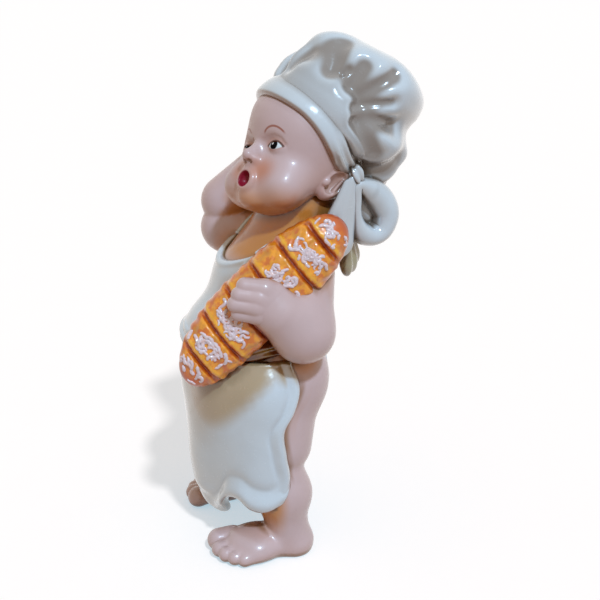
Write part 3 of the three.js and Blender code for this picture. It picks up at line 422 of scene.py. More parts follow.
def limb(ends, radii):
    start, end = ends
    axis = end - start
    length = np.linalg.norm(axis)
    axis = axis / length
    taper = (radii[0] - radii[1]) / length
    lean = math.sqrt(max(1 - taper * taper, 1e-6))

    def form(points):
        near = points - start
        along = near @ axis
        across = np.sqrt(np.maximum((near * near).sum(-1) - along * along, 0))
        side = along * lean - across * taper
        first = np.hypot(across, along) - radii[0]
        last = np.hypot(across, along - length) - radii[1]
        flank = across * lean + along * taper - radii[0]
        return np.where(side < 0, first, np.where(side > lean * length, last, flank))

    return form


def softest(first, second, softness):
    overlap = np.maximum(softness - np.abs(first - second), 0) / softness
    return np.minimum(first, second) - overlap * overlap * softness / 4


def blend(softness, *forms):
    def form(points):
        result = forms[0](points)
        for other in forms[1:]:
            result = softest(result, other(points), softness)
        return result

    return form


def hollowed(softness, body, *tools):
    def form(points):
        result = body(points)
        for tool in tools:
            result = -softest(-result, tool(points), softness)
        return result

    return form


def both(softness, first, second):
    return lambda points: -softest(-first(points), -second(points), softness)


def placed(form, turn, origin):
    return lambda points: form((points - origin) @ turn)


def flipped(form):
    return lambda points: form(points * (-1, 1, 1))


def grown(form, by):
    return lambda points: form(points) - by


def line_distance(points, path):
    nearest = np.full(len(points), np.inf)
    for start, end in zip(path[:-1], path[1:]):
        along = end - start
        share = np.clip((points - start) @ along / (along @ along), 0, 1)
        gap = points - start - share[:, None] * along
        nearest = np.minimum(nearest, np.linalg.norm(gap, axis=1))
    return nearest


def engraved(form, path, width, depth):
    """A form with a soft groove along a bent line, or a ridge where depth is negative."""
    path = [np.asarray(p, float) for p in path]
    return lambda points: form(points) + depth * np.exp(-((line_distance(points, path) / width) ** 2))


def aim(axis, near_x):
    z = np.asarray(axis, float) / np.linalg.norm(axis)
    y = np.cross(z, near_x)
    y = y / np.linalg.norm(y)
    return np.stack([np.cross(y, z), y, z], 1)


def spin(axis, degrees):
    """A rotation about X, Y or Z."""
    c, s = math.cos(math.radians(degrees)), math.sin(math.radians(degrees))
    a, b = {"X": (1, 2), "Y": (2, 0), "Z": (0, 1)}[axis]
    turn = np.eye(3)
    turn[a, a] = turn[b, b] = c
    turn[a, b], turn[b, a] = -s, s
    return turn


def smoothstep(low, high, value):
    share = np.clip((value - low) / (high - low), 0, 1)
    return share * share * (3 - 2 * share)


def flow(place, stations, values):
    """A smooth line through values at stations, read at each place."""
    stations, values = np.asarray(stations, float), np.asarray(values, float)
    slopes = np.gradient(values, stations)
    i = np.clip(np.searchsorted(stations, place) - 1, 0, len(stations) - 2)
    step = stations[i + 1] - stations[i]
    t = np.clip((place - stations[i]) / step, 0, 1)
    rise = values[i] * (1 + 2 * t) * (1 - t) ** 2 + values[i + 1] * t * t * (3 - 2 * t)
    return rise + step * t * (1 - t) * (slopes[i] * (1 - t) - slopes[i + 1] * t)


HEAD_TURN = spin("Z", HEAD_YAW) @ spin("Y", HEAD_ROLL) @ spin("X", -HEAD_PITCH)
FACE_TURN = spin("Z", FACE_YAW) @ spin("Y", FACE_ROLL) @ spin("X", -FACE_PITCH)
SKULL_TURN = FACE_TURN.T @ HEAD_TURN  # the head's frame as the face's frame has it
SKULL_CENTRE = (HEAD_CENTRE - FACE_CENTRE) @ FACE_TURN
HAT_TURN = HEAD_TURN @ spin("X", -HAT_TILT)
HAT_ORIGIN = HEAD_CENTRE + HEAD_TURN @ BROW_POINT
LOAF_TURN = aim(LOAF_AXIS, LOAF_FACE)


# Nets
def slope(form, points, step=0.02):
    rises = [form(points + offset) - form(points - offset) for offset in np.eye(3) * step]
    return np.stack(rises, -1) / (2 * step)


def settle(form, points, most, rounds=2):
    """Points moved onto a form's surface, by no more than a given distance a round."""
    for _ in range(rounds):
        lean = slope(form, points)
        size = np.maximum((lean * lean).sum(-1), 0.05)
        shift = -form(points) / size
        points = points + np.clip(shift, -most, most)[:, None] * lean
    return points


def measured(form, low, high, cell):
    """Distances on a grid, full only in blocks near the surface."""
    blocks = np.ceil((high - low) / (cell * BLOCK)).astype(int)
    grid = np.empty(blocks * BLOCK + 1)
    axes = [low[i] + cell * np.arange(grid.shape[i]) for i in range(3)]
    middles = [low[i] + cell * BLOCK * (np.arange(blocks[i]) + 0.5) for i in range(3)]
    far = np.stack(np.meshgrid(*middles, indexing="ij"), -1)
    coarse = form(far.reshape(-1, 3)).reshape(far.shape[:3])
    grid[:] = 1
    reach = 1.5 * cell * BLOCK
    for order in (False, True):
        for index in np.argwhere((np.abs(coarse) < reach) == order):
            part = tuple(slice(b * BLOCK, b * BLOCK + BLOCK + 1) for b in index)
            if not order:
                grid[part] = np.sign(coarse[tuple(index)])
                continue
            corners = np.meshgrid(*(axes[i][part[i]] for i in range(3)), indexing="ij")
            points = np.stack(corners, -1)
            grid[part] = form(points.reshape(-1, 3)).reshape(points.shape[:3])
    return grid


def net(form, low, high, cell):
    """A closed net of four-sided faces over a form, with one point in each cell that the surface crosses."""
    low, high = np.asarray(low, float), np.asarray(high, float)
    grid = measured(form, low, high, cell)
    inside = grid < 0
    corners = [(i, j, k) for i in (0, 1) for j in (0, 1) for k in (0, 1)]
    count = np.zeros(np.array(grid.shape) - 1, np.int8)
    for i, j, k in corners:
        count += inside[i:i + count.shape[0], j:j + count.shape[1], k:k + count.shape[2]]
    crossed = (count > 0) & (count < 8)
    cells = np.argwhere(crossed)
    number = np.full(crossed.shape, -1)
    number[crossed] = np.arange(len(cells))
    total = np.zeros((len(cells), 3))
    hits = np.zeros(len(cells))
    for corner in corners:
        for axis in range(3):
            if corner[axis]:
                continue
            other = np.array(corner)
            other[axis] = 1
            first = grid[tuple((cells + corner).T)]
            second = grid[tuple((cells + other).T)]
            change = (first < 0) != (second < 0)
            share = np.where(change, first / np.where(change, first - second, 1), 0)
            place = np.tile(np.array(corner, float), (len(cells), 1))
            place[:, axis] += share
            total += place * change[:, None]
            hits += change
    points = (cells + total / hits[:, None]) * cell + low
    faces = []
    for axis in range(3):
        u, v = (axis + 1) % 3, (axis + 2) % 3
        near, far = [slice(1, -1)] * 3, [slice(1, -1)] * 3
        near[axis], far[axis] = slice(0, -1), slice(1, None)
        a, b = inside[tuple(near)], inside[tuple(far)]
        start = np.ones(3, int)
        start[axis] = 0
        for outward, edges in ((True, a & ~b), (False, ~a & b)):
            edge = np.argwhere(edges) + start
            ring = []
            for du, dv in ((-1, -1), (0, -1), (0, 0), (-1, 0)):
                beside = edge.copy()
                beside[:, u] += du
                beside[:, v] += dv
                ring.append(number[tuple(beside.T)])
            ring = np.stack(ring, 1)
            faces.append(ring if outward else ring[:, ::-1])
    points = settle(form, points, cell / 2)
    return points, np.concatenate(faces)


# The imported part's frame is the figure's frame moved sideways, which the legs' boxes give back
left_low, left_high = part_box("left_leg")
right_low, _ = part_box("right_leg")
BIG_TOE, BIG_TOE_RADIUS = TOES[0]
FIGURE_ORIGIN = at(
    (left_high.x + right_low.x) / 2 / MM,
    left_low.y / MM - (BIG_TOE[1] - BIG_TOE_RADIUS),
    0,
)


def recess_of(points, normals, reach):
    """How much of the space in front of each point other surfaces close off, from 0 to 1."""
    probe = points + normals * reach
    nearest = np.full(len(points), float(reach))
    for form in everything:
        nearest = np.minimum(nearest, form(probe))
    return np.clip(1 - nearest / reach, 0, 1)


def normals_of(points, faces):
    a, b, c, d = (points[faces[:, i]] for i in range(4))
    face_normals = np.cross(c - a, d - b)
    normals = np.zeros_like(points)
    for i in range(4):
        np.add.at(normals, faces[:, i], face_normals)
    return normals / np.maximum(np.linalg.norm(normals, axis=1), 1e-12)[:, None]


def added(name, data):
    thing = bpy.data.objects.new(name, data)
    bpy.context.scene.collection.objects.link(thing)
    return thing


def piece(name, shape, look, replaces=(), place=None, sunken=None, shaded=None):
    """A finished piece of the figure, with the values that its glaze is painted by."""
    points, faces = shape
    material, slot = look
    mesh = bpy.data.meshes.new(name)
    mesh.from_pydata(((points + FIGURE_ORIGIN) * MM).tolist(), [], faces.tolist())
    mesh.polygons.foreach_set("use_smooth", np.ones(len(faces), bool))
    normals = normals_of(points, faces)
    values = {
        "crease": recess_of(points, normals, CREASE_REACH),
        "recess": recess_of(points, normals, RECESS_REACH),
        "cover": np.maximum(*(recess_of(points, normals, reach) for reach in COVER_REACHES)),
        "under": np.clip(-normals[:, 2], 0, 1),
    }
    if sunken:
        values["recess"] = np.maximum(values["recess"], sunken(points))
    if shaded:
        values["cover"] = np.maximum(values["cover"], shaded(points))
    for key, value in values.items():
        attribute = mesh.attributes.new(key, "FLOAT", "POINT")
        attribute.data.foreach_set("value", value.astype(np.float32))
    local = mesh.attributes.new("place", "FLOAT_VECTOR", "POINT")
    spots = points if place is None else place(points)
    local.data.foreach_set("vector", spots.astype(np.float32).ravel())
    mesh.materials.append(material)
    mesh.update()
    thing = added(name, mesh)
    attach(thing, "root")
    if replaces:
        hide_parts(*replaces)


def netted(name, form, centre, reach, cell, look, replaces, **painted):
    """A piece that is the net of a form, within a box that reaches some way from a centre."""
    piece(name, net(form, centre - at(*reach), centre + at(*reach), cell), look, replaces, **painted)


# Body
def chain(points, radii, softness):
    pairs = zip(points[:-1], points[1:], radii[:-1], radii[1:])
    return blend(softness, *(limb((a, b), (r, s)) for a, b, r, s in pairs))


def leg_form(side):
    def m(point):
        return mirrored(point, side)

    thigh = limb((m(HIP), m(KNEE)), THIGH_RADII)
    thigh = blend(THIGH_BLEND, thigh, ball(m(THIGH_SWELL), THIGH_SWELL_RADII))
    shin = blend(SHIN_BLEND, ball(m(CALF), CALF_RADII), limb((m(SHIN_TOP), m(ANKLE)), SHIN_RADII))
    foot = blend(
        SHIN_BLEND,
        ball(m(HEEL), HEEL_RADII),
        ball(m(FOREFOOT), FOREFOOT_RADII),
        limb((m(HEEL), m(INSTEP_END)), INSTEP_RADII),
    )
    toes = [limb((m(tip + TOE_ROOT), m(tip)), (radius * TOE_TAPER, radius)) for tip, radius in TOES]
    leg = blend(ANKLE_BLEND, blend(KNEE_BLEND, thigh, shin), foot)
    leg = blend(TOE_BLEND, leg, blend(DIGIT_BLEND, *toes))
    return both(SOLE_EDGE, leg, lambda points: -points[..., 2])


def hand_form(palm, radii, knuckles, finger):
    fingers = [limb((root, root + finger), (radius * FINGER_ROOT, radius)) for root, radius in knuckles]
    return blend(PALM_BLEND, ball(palm, radii), blend(FINGER_BLEND, *fingers))


def torso_form():
    buttocks = [ball(mirrored(BUTTOCK, side), BUTTOCK_RADII) for side in (1, -1)]
    return blend(
        TORSO_BLEND,
        ball(BELLY, BELLY_RADII),
        ball(CHEST, CHEST_RADII),
        blend(BUTTOCK_BLEND, *buttocks),
        limb((mirrored(SHOULDER, -1), SHOULDER), (SHOULDER_RADIUS, SHOULDER_RADIUS)),
        limb(NECK, NECK_RADII),
    )


torso = torso_form()
left_arm = chain(LEFT_ARM, LEFT_ARM_RADII, LEFT_ELBOW_BLEND)
left_hand = hand_form(LEFT_PALM, LEFT_PALM_RADII, LEFT_KNUCKLES, LEFT_FINGER)
right_arm = blend(
    RIGHT_ELBOW_BLEND,
    limb(RIGHT_UPPER_ARM, RIGHT_UPPER_RADII),
    limb(RIGHT_FOREARM, RIGHT_FOREARM_RADII),
)
right_hand = hand_form(RIGHT_PALM, RIGHT_PALM_RADII, RIGHT_KNUCKLES, RIGHT_FINGER)
arms = blend(
    ARM_TO_TORSO_BLEND,
    torso,
    blend(LEFT_WRIST_BLEND, left_arm, ball(LEFT_PALM, LEFT_PALM_RADII)),
    blend(RIGHT_WRIST_BLEND, right_arm, ball(RIGHT_PALM, RIGHT_PALM_RADII)),
)
body = blend(LEG_TO_TORSO_BLEND, arms, leg_form(1), leg_form(-1))


# Head: drawn in the face's frame, where the skull and the ears keep the head's own
def ahead_of(face, place):
    """The point of the face that lies straight behind a place drawn on its front."""
    y = np.linspace(-30, 0, 1201)
    line = np.stack([np.full_like(y, place[0]), y, np.full_like(y, place[2])], -1)
    return line[np.argmax(face(line) < 0)]


def eyed(face):
    """A face with soft sockets, a shallow eyeball and a lid's fold in each."""
    for side in (1, -1):
        spot = ahead_of(face, mirrored(EYE, side)) + (0, 0 if side > 0 else 0.8, 0)
        socket = ball(spot + mirrored(SOCKET, side), SOCKET_RADII)
        eyeball = ball(spot + (0, EYEBALL_DEPTH, 0), EYEBALL_RADII)
        lid = [ahead_of(face, mirrored(EYE + (x, 0, z), side)) for x, z in LID_FOLD]
        face = blend(0.9, hollowed(2.5, face, socket), eyeball)
        face = engraved(face, lid, 0.6, 0.45)
    return face


def nose_form():
    wings = [ball(mirrored(NOSE_WING, side), NOSE_WING_RADII) for side in (1, -1)]
    return blend(1.8, limb((NOSE_BRIDGE, NOSE_TIP), NOSE_RADII), *wings)


def ring_form(centre, radii, thickness):
    """A ring that faces forwards, as lips do."""

    def form(points):
        near = points - centre
        oval = np.hypot(near[..., 0] / radii[0], near[..., 2] / radii[1])
        out = (oval - 1) * min(radii)
        return np.hypot(out, near[..., 1]) - thickness

    return form


def ear_form(side):
    """An ear drawn in its own frame, with +X outwards: rim, bowl, inner fold, tragus and canal."""
    shell = hollowed(0.6, ball(at(0, 0, 0), EAR_RADII), ball(EAR_BOWL, EAR_BOWL_RADII))
    ear = blend(0.6, shell, limb(EAR_FOLD, EAR_FOLD_RADII), ball(TRAGUS, TRAGUS_RADII))
    ear = hollowed(0.4, ear, ball(EAR_CANAL, EAR_CANAL_RADII))
    ear = placed(ear, spin("Z", -EAR_SPLAY) @ spin("X", -EAR_TILT), EAR)
    return ear if side > 0 else flipped(ear)


def skull_form():
    return blend(HEAD_BLEND, ball(CRANIUM, CRANIUM_RADII), ball(FOREHEAD, FOREHEAD_RADII))


def head_form():
    skull_and_jaw = blend(HEAD_BLEND, skull_form(), ball(JAW, JAW_RADII))
    cheeks = [ball(mirrored(CHEEK, side), CHEEK_RADII) for side in (1, -1)]
    muzzle = blend(
        MUZZLE_BLEND,
        ball(MANDIBLE, MANDIBLE_RADII),
        ball(CHIN, CHIN_RADII),
        ball(MUZZLE, MUZZLE_RADII),
    )
    muzzle = blend(CHEEK_BLEND, muzzle, *cheeks)
    face = blend(FACE_BLEND, placed(skull_and_jaw, SKULL_TURN, SKULL_CENTRE), muzzle)
    face = blend(2.6, eyed(face), nose_form())
    for side in (1, -1):
        fold = [ahead_of(face, mirrored(at(x, 0, z), side)) for x, z in MOUTH_FOLD]
        face = hollowed(0.5, face, ball(mirrored(NOSTRIL, side), NOSTRIL_RADII))
        face = engraved(face, fold, 2.0, 0.12)
    lips = ring_form(LIPS, LIP_RADII, LIP_THICKNESS)
    face = hollowed(0.6, blend(1.8, face, lips), ball(MOUTH, MOUTH_RADII))
    ears = [placed(ear_form(side), SKULL_TURN, SKULL_CENTRE) for side in (1, -1)]
    return blend(1.0, face, *ears)


def in_face(points):
    return (points - FACE_CENTRE) @ FACE_TURN


head = placed(head_form(), FACE_TURN, FACE_CENTRE)
skull = placed(skull_form(), HEAD_TURN, HEAD_CENTRE)


# Hat
def round_hat(points):
    """Place by the hat's axis: degrees from the brow towards the left ear, height and distance."""
    near = (points - HAT_ORIGIN) @ HAT_TURN
    x, y = near[..., 0], near[..., 1] - HAT_AXIS_Y
    return np.degrees(np.arctan2(x, -y)), near[..., 2], np.hypot(x, y)


def drawn_in(angle):
    """How far the band is drawn together towards the knot, from 0 to 1."""
    off = (angle - KNOT_ANGLE + 180) % 360 - 180
    return np.where(off < 0, smoothstep(-85, -12, off), smoothstep(50, 8, off))


def band_form():
    """A wide band with a fold along it, drawn together into fine folds where the bow's knot holds it."""

    def form(points):
        angle, height, _ = round_hat(points)
        drawn = drawn_in(angle)
        lower, upper = -BAND_DROP * drawn, BAND_WIDTH - BAND_RISE * drawn
        width = upper - lower
        share = np.clip((height - lower) / width, 0, 1)
        roll = BAND_ROLL * np.sqrt(np.maximum(1 - 0.9 * np.abs(share * 2 - 1) ** 3.4, 0))
        roll = roll - (0.2 + 0.9 * drawn) * np.exp(-(((share - BAND_SPLIT) / 0.07) ** 2))
        gathers = 0.5 * smoothstep(0.4, 1, drawn) * np.cos(2 * np.pi * (3.4 * share + 0.2))
        outside = skull(points) - BAND_THICKNESS - roll - gathers
        edges = np.abs(height - (upper + lower) / 2) - width / 2
        ring = -softest(-outside, -edges, 1.6)
        return np.maximum(ring, -(skull(points) + 1.5))

    return form


def in_band(points):
    """Distance round the band and height above its lower edge."""
    angle, height, _ = round_hat(points)
    return np.stack([np.radians(angle) * CROWN_REACH, height * 0, height + BAND_DROP * drawn_in(angle)], -1)


def cushion(centre, axis, radii):
    size = min(radii[0], radii[1], radii[2] * CROWN_SHOULDER)

    def form(near):
        out = np.hypot(near[..., 0] / radii[0], near[..., 1] / radii[1]) ** CROWN_SQUARENESS
        up = np.abs(near[..., 2] / radii[2]) ** CROWN_SQUARENESS
        return ((out + up) ** (1 / CROWN_SQUARENESS) - 1) * size

    return placed(form, aim(axis, (1, 0, 0)), centre)


def crown_form():
    """A puffed crown with hollows between its gathers, and how much painted shade darkens them."""
    puff = blend(
        CROWN_BLEND,
        cushion(CROWN_TOP, CROWN_TOP_AXIS, CROWN_TOP_RADII),
        cushion(CROWN_BASE, CROWN_BASE_AXIS, CROWN_BASE_RADII),
        ball(CROWN_NAPE, CROWN_NAPE_RADII),
    )
    hollows = list(CROWN_HOLLOWS)
    first, last = BACK_HOLLOW_SPAN
    for i in range(BACK_HOLLOWS):
        angle = first + (last - first) * (i + 0.3 * math.sin(5 * i)) / (BACK_HOLLOWS - 1)
        low = 6 + 5 * smoothstep(240, 336, angle)
        hollows.append(((angle, low), (angle + 5 * math.cos(3 * i), low + 10), *BACK_HOLLOW))

    def unrolled(angle, height):
        return np.stack([np.radians(angle) * CROWN_REACH, height], -1)

    def carved(points):
        angle, height, _ = round_hat(points)
        total = 0
        for start, end, width, depth in hollows:
            middle = (start[0] + end[0]) / 2
            near = (angle - middle + 180) % 360 - 180 + middle
            path = [unrolled(*start), unrolled(*end)]
            away = line_distance(unrolled(near, height).reshape(-1, 2), path).reshape(near.shape)
            total = total + depth * np.exp(-((away / width) ** 2))
        return total

    def form(points):
        angle, height, away = round_hat(points)
        swell = CROWN_SWELL * np.sin(np.radians(angle) * CROWN_SWELLS + 1.5)
        swell = swell * smoothstep(14, 26, height) * smoothstep(5, 20, away)
        return puff(points) - swell + carved(points)

    return form, lambda points: HOLLOW_SHADE * smoothstep(0.2, 2.2, carved(points))


def tube(stations, sides, steps, closed=True):
    """A tube through stations of place, width and depth."""
    count = len(stations)
    spots = np.array([s[0] for s in stations])
    sizes = np.array([s[1:] for s in stations], float)
    t = np.arange(steps) / (steps if closed else steps - 1) * (count if closed else count - 1)
    i = np.minimum(t.astype(int), count - 1 if closed else count - 2)
    u = (t - i)[:, None]

    def read(values):
        around = [(i + o) % count if closed else np.clip(i + o, 0, count - 1) for o in (-1, 0, 1, 2)]
        a, b, c, d = (values[index] for index in around)
        cubic = (3 * b - a - 3 * c + d) * u ** 3
        return 0.5 * (2 * b + (c - a) * u + (2 * a - 5 * b + 4 * c - d) * u ** 2 + cubic)

    middle = read(spots)
    size = read(sizes)
    along = np.roll(middle, -1, 0) - np.roll(middle, 1, 0) if closed else np.gradient(middle, axis=0)
    along /= np.linalg.norm(along, axis=1)[:, None]
    inward = spots.mean(0) - middle
    deep = np.cross(along, inward)
    deep /= np.linalg.norm(deep, axis=1)[:, None]
    wide = np.cross(deep, along)
    around = 2 * np.pi * np.arange(sides) / sides
    flank = wide[:, None] * (size[:, 0, None, None] * np.cos(around)[None, :, None])
    face = deep[:, None] * (size[:, 1, None, None] * np.sin(around)[None, :, None])
    points = (middle[:, None] + flank + face).reshape(-1, 3)
    faces = []
    for step in range(steps if closed else steps - 1):
        start, after = step * sides, (step + 1) % steps * sides
        for side in range(sides):
            beside = (side + 1) % sides
            faces.append((start + side, start + beside, after + beside, after + side))
    if not closed:
        for end, turn in ((0, -1), (steps - 1, 1)):
            points = np.vstack([points, middle[end]])
            hub = len(points) - 1
            for side in range(0, sides, 2):
                ring = [end * sides + (side + k) % sides for k in (0, 1, 2)]
                faces.append((hub, *ring[::turn]))
    return points, np.array(faces)


def ribbon_form(ends, radii, across, folds=3, depth=0.35):
    """A flat ribbon that widens from one end to the other, with folds along it."""
    axis = ends[1] - ends[0]
    half = np.linalg.norm(axis) / 2
    core = limb((at(0, 0, -half), at(0, 0, half)), radii)

    def form(near):
        pressed = near / (RIBBON_FLATNESS, 1, 1)
        width = np.interp(near[..., 2], (-half, half), radii)
        fold = np.cos(near[..., 1] / width * np.pi * folds)
        return core(pressed) * RIBBON_FLATNESS - depth * fold

    return placed(form, aim(axis, across), halfway(ends))


def puckered(centre, radii, toward, folds, depth):
    """A ball of gathered cloth, with folds that run towards a point."""
    turn = aim(toward, (0, 0.3, 1))
    core = ball(at(0, 0, 0), radii)

    def form(points):
        near = (points - centre) @ turn
        angle = np.arctan2(near[..., 1], near[..., 0])
        return core(points - centre) + depth * np.cos(folds * angle)

    return form


band = band_form()
crown, crown_hollow_shade = crown_form()
knot = puckered(KNOT, KNOT_RADII, at(0.2, 0.5, -1), 5, 0.4)
strand = ribbon_form(BOW_STRAND, BOW_STRAND_RADII, at(1, 0, 0), 1.6, 0.15)
hat_tail = ribbon_form(BOW_TAIL, BOW_TAIL_RADII, at(1, 1, 0))


# Loaf: its frame has +X out of the slashed face, +Y across and +Z along
def loaf_form():
    thickness, width, length = LOAF_SIZE

    def form(near):
        droop = LOAF_DROOP * (2 * np.minimum(near[..., 2], 0) / length) ** 2
        thick = np.abs(2 * near[..., 0] / thickness) ** LOAF_ROUNDNESS
        wide = np.abs(2 * (near[..., 1] - droop) / width) ** LOAF_ROUNDNESS
        end = np.abs(2 * near[..., 2] / length) ** LOAF_END_SQUARENESS
        result = ((thick + wide + end) ** (1 / LOAF_ROUNDNESS) - 1) * thickness / 2
        whole = smoothstep(0.96, 0.74, np.abs(2 * near[..., 2] / length))
        outward = smoothstep(1.0, 5.0, near[..., 0]) * (0.3 + 0.7 * whole)
        along = near[..., 2] + SLASH_RISE * near[..., 1]
        for i in range(SLASHES):
            away = along - (i - (SLASHES - 1) / 2) * SLASH_SPACING
            result = result + outward * SLASH_DEPTH * np.exp(-((away / SLASH_WIDTH) ** 2))
            result = result - outward * LIP_HEIGHT * np.exp(-(((away - SLASH_LIP) / 1.0) ** 2))
        sway = 1.3 * np.sin(near[..., 1] * 0.9)
        lumps = np.sin(near[..., 2] * 1.1 + sway) * np.sin(near[..., 1] * 1.25 + near[..., 2] * 0.35)
        return result - CRUST_LUMP * whole * lumps

    return form


loaf_local = loaf_form()
loaf = placed(loaf_local, LOAF_TURN, LOAF_CENTRE)


def in_loaf(points):
    return (points - LOAF_CENTRE) @ LOAF_TURN


# Apron
def bib_form():
    """A shell over the chest with a hollow neckline and a beaded edge."""
    share = np.linspace(-1, 1, 25)
    neck = BIB_NECKLINE + (BIB_TOP - BIB_NECKLINE) * share ** 2
    sides_z = np.linspace(BIB_TOP, SASH_TOP - 3, 12)
    drop = (BIB_TOP - sides_z) / (BIB_TOP - SASH_TOP + 3)
    sides_x = BIB_TOP_HALF_WIDTH + (BIB_HALF_WIDTH - BIB_TOP_HALF_WIDTH) * np.sqrt(drop)
    right = np.stack([sides_x, sides_z], 1)
    outline = np.vstack([
        np.stack([share * BIB_TOP_HALF_WIDTH, neck], 1),
        right[1:],
        (right * (-1, 1))[::-1][:-1],
    ])

    def form(points):
        flat = points[..., (0, 2)]
        edge = outline_distance(flat, outline)
        bead = 0.5 * np.exp(-(((edge + 1.2) / 1.1) ** 2))
        shell = np.abs(torso(points) - BIB_THICKNESS / 2) - BIB_THICKNESS / 2 - bead
        shell = -softest(-shell, -edge, 1.4)
        return np.maximum(shell, points[..., 1] - BIB_BACK_LIMIT)

    return form


def outline_distance(flat, outline):
    """Distance to a closed outline in a plane, negative inside it."""
    nearest = np.full(len(flat), np.inf)
    inside = np.zeros(len(flat), bool)
    x, y = flat[:, 0], flat[:, 1]
    for start, end in zip(outline, np.roll(outline, -1, 0)):
        along = end - start
        share = np.clip((flat - start) @ along / max(along @ along, 1e-9), 0, 1)
        nearest = np.minimum(nearest, np.linalg.norm(flat - start - share[:, None] * along, axis=1))
        crosses = (start[1] > y) != (end[1] > y)
        run = along[0] * (y - start[1]) / (along[1] if along[1] else 1) + start[0]
        inside ^= crosses & (x < run)
    return np.where(inside, -nearest, nearest)


def sash_form():
    """A waistband wound in folds that run round the body."""
    middle = (SASH_TOP + SASH_BOTTOM) / 2
    half = (SASH_TOP - SASH_BOTTOM) / 2

    def form(points):
        angle = np.arctan2(points[..., 0], -points[..., 1] - 10)
        up = (points[..., 2] - middle) / half
        sway = 0.16 * np.sin(3 * angle) + 0.1 * np.sin(7 * angle + 1)
        folds = 0.42 * np.cos(np.pi * (up * 2.6 + sway * 3))
        bulge = SASH_THICKNESS * np.sqrt(np.maximum(1 - 0.85 * up ** 2, 0.02))
        outside = torso(points) - bulge - folds
        ring = -softest(-outside, -(np.abs(up) - 1) * half, 1.2)
        return np.maximum(ring, -(torso(points) + 1))

    return form


def skirt_radius(angle, z):
    """The skirt's radius at an angle from the front towards its left, in degrees, and a height."""
    turn = np.radians(angle)
    side = flow(z, SKIRT_HEIGHTS, SKIRT_SIDES)
    front = flow(z, SKIRT_HEIGHTS, SKIRT_FRONTS)
    sideways = np.abs(np.sin(turn) / side) ** SKIRT_SQUARENESS
    forwards = np.abs(np.cos(turn) / front) ** SKIRT_SQUARENESS
    fall = np.clip((SASH_BOTTOM - z) / SASH_BOTTOM, 0, 1)
    sway = 0.5 * np.sin(z / 14)
    fold = np.cos((turn - math.radians(SKIRT_FOLD_START)) * SKIRT_FOLDS + sway)
    fold = SKIRT_FOLD_DEPTH * fall ** 0.8 * fold
    tucks = np.exp(-(((z - SKIRT_TUCK_HEIGHT) / 13) ** 2)) * np.cos(turn * SKIRT_TUCKS + 0.6)
    tucks = SKIRT_TUCK_DEPTH * tucks
    return (sideways + forwards) ** (-1 / SKIRT_SQUARENESS) + fold + tucks


def skirt_form(points):
    """Near enough a distance to the skirt, for finding recesses."""
    x, y = points[..., 0], points[..., 1] - SKIRT_AXIS_Y
    angle = np.degrees(np.arctan2(x, -y))
    z = np.clip(points[..., 2], 4, SASH_BOTTOM)
    sheet = np.abs(np.hypot(x, y) - skirt_radius(angle, z) + SKIRT_THICKNESS / 2) - SKIRT_THICKNESS / 2
    below = flow(angle, HEM_ANGLES, HEM_HEIGHTS) - points[..., 2]
    beyond = (np.abs(angle) - flow(z, SKIRT_HEIGHTS, SKIRT_WRAPS)) * DEGREE_RUN
    return np.maximum(np.maximum(sheet, below), np.maximum(beyond, points[..., 2] - SASH_BOTTOM))


def skirt_shape():
    """A thick sheet hung from the sash, with a rolled edge all round its sides and hem."""
    columns, rows = int(220 / COARSENESS), int(120 / COARSENESS)
    share = np.sin(np.linspace(-1, 1, columns + 1) * np.pi / 2)
    rise = 1 - np.cos(np.linspace(0, 1, rows + 1) * np.pi / 2)
    share, rise = np.meshgrid(share, rise, indexing="ij")
    bottom = flow(share * HEM_REACH, HEM_ANGLES, HEM_HEIGHTS)
    z = bottom + (SASH_BOTTOM + 0.6 - bottom) * rise
    wrap = flow(z, SKIRT_HEIGHTS, SKIRT_WRAPS)
    angle = share * wrap
    outer = skirt_radius(angle, z)
    from_side = (1 - np.abs(share)) * wrap * DEGREE_RUN
    from_hem = z - bottom
    inset = np.minimum(from_side, from_hem)
    half = SKIRT_THICKNESS / 2
    groove = 0.4 * np.exp(-((from_side - 4.6) / 0.9) ** 2) * smoothstep(8, 16, from_hem)
    bead = SIDE_BEAD * np.exp(-((from_side - 1.7) / 1.6) ** 2) - groove
    dip = 0.45 * smoothstep(2, 8, from_side) * np.exp(-((from_hem - 10) / 2.2) ** 2)
    roll = HEM_ROLL * np.exp(-((from_hem - 3.6) / 3.4) ** 2) - dip
    lip = np.maximum(bead, roll) + np.minimum(np.minimum(bead, roll), 0)
    rim = np.clip(inset / half, 0, 1)
    body_half = (half + lip * 0.6) * np.sqrt(1 - (1 - rim) ** 2)
    middle = outer - half + lip * 0.5

    def ring(radius):
        turn = np.radians(angle)
        return np.stack([radius * np.sin(turn), SKIRT_AXIS_Y - radius * np.cos(turn), z], -1)

    outside, inside = ring(middle + body_half), ring(middle - body_half)
    count = (columns + 1) * (rows + 1)
    index = np.arange(count).reshape(columns + 1, rows + 1)
    back = index + count
    edge = (inset <= 1e-9) & (rise < 1)
    back[edge] = index[edge]
    faces = []
    for grid, turn in ((index, 1), (back, -1)):
        a, b, c, d = grid[:-1, :-1], grid[1:, :-1], grid[1:, 1:], grid[:-1, 1:]
        quads = np.stack([a, b, c, d], -1).reshape(-1, 4)
        faces.append(quads[:, ::turn])
    top = np.stack([index[:-1, -1], index[1:, -1], back[1:, -1], back[:-1, -1]], -1)
    faces.append(top)
    points = np.vstack([outside.reshape(-1, 3), inside.reshape(-1, 3)])
    return tidy_shape(points, np.concatenate(faces))


def joined(shapes):
    """Several shapes as one."""
    starts = np.cumsum([0] + [len(points) for points, _ in shapes[:-1]])
    faces = [faces + start for start, (_, faces) in zip(starts, shapes)]
    return np.vstack([points for points, _ in shapes]), np.vstack(faces)


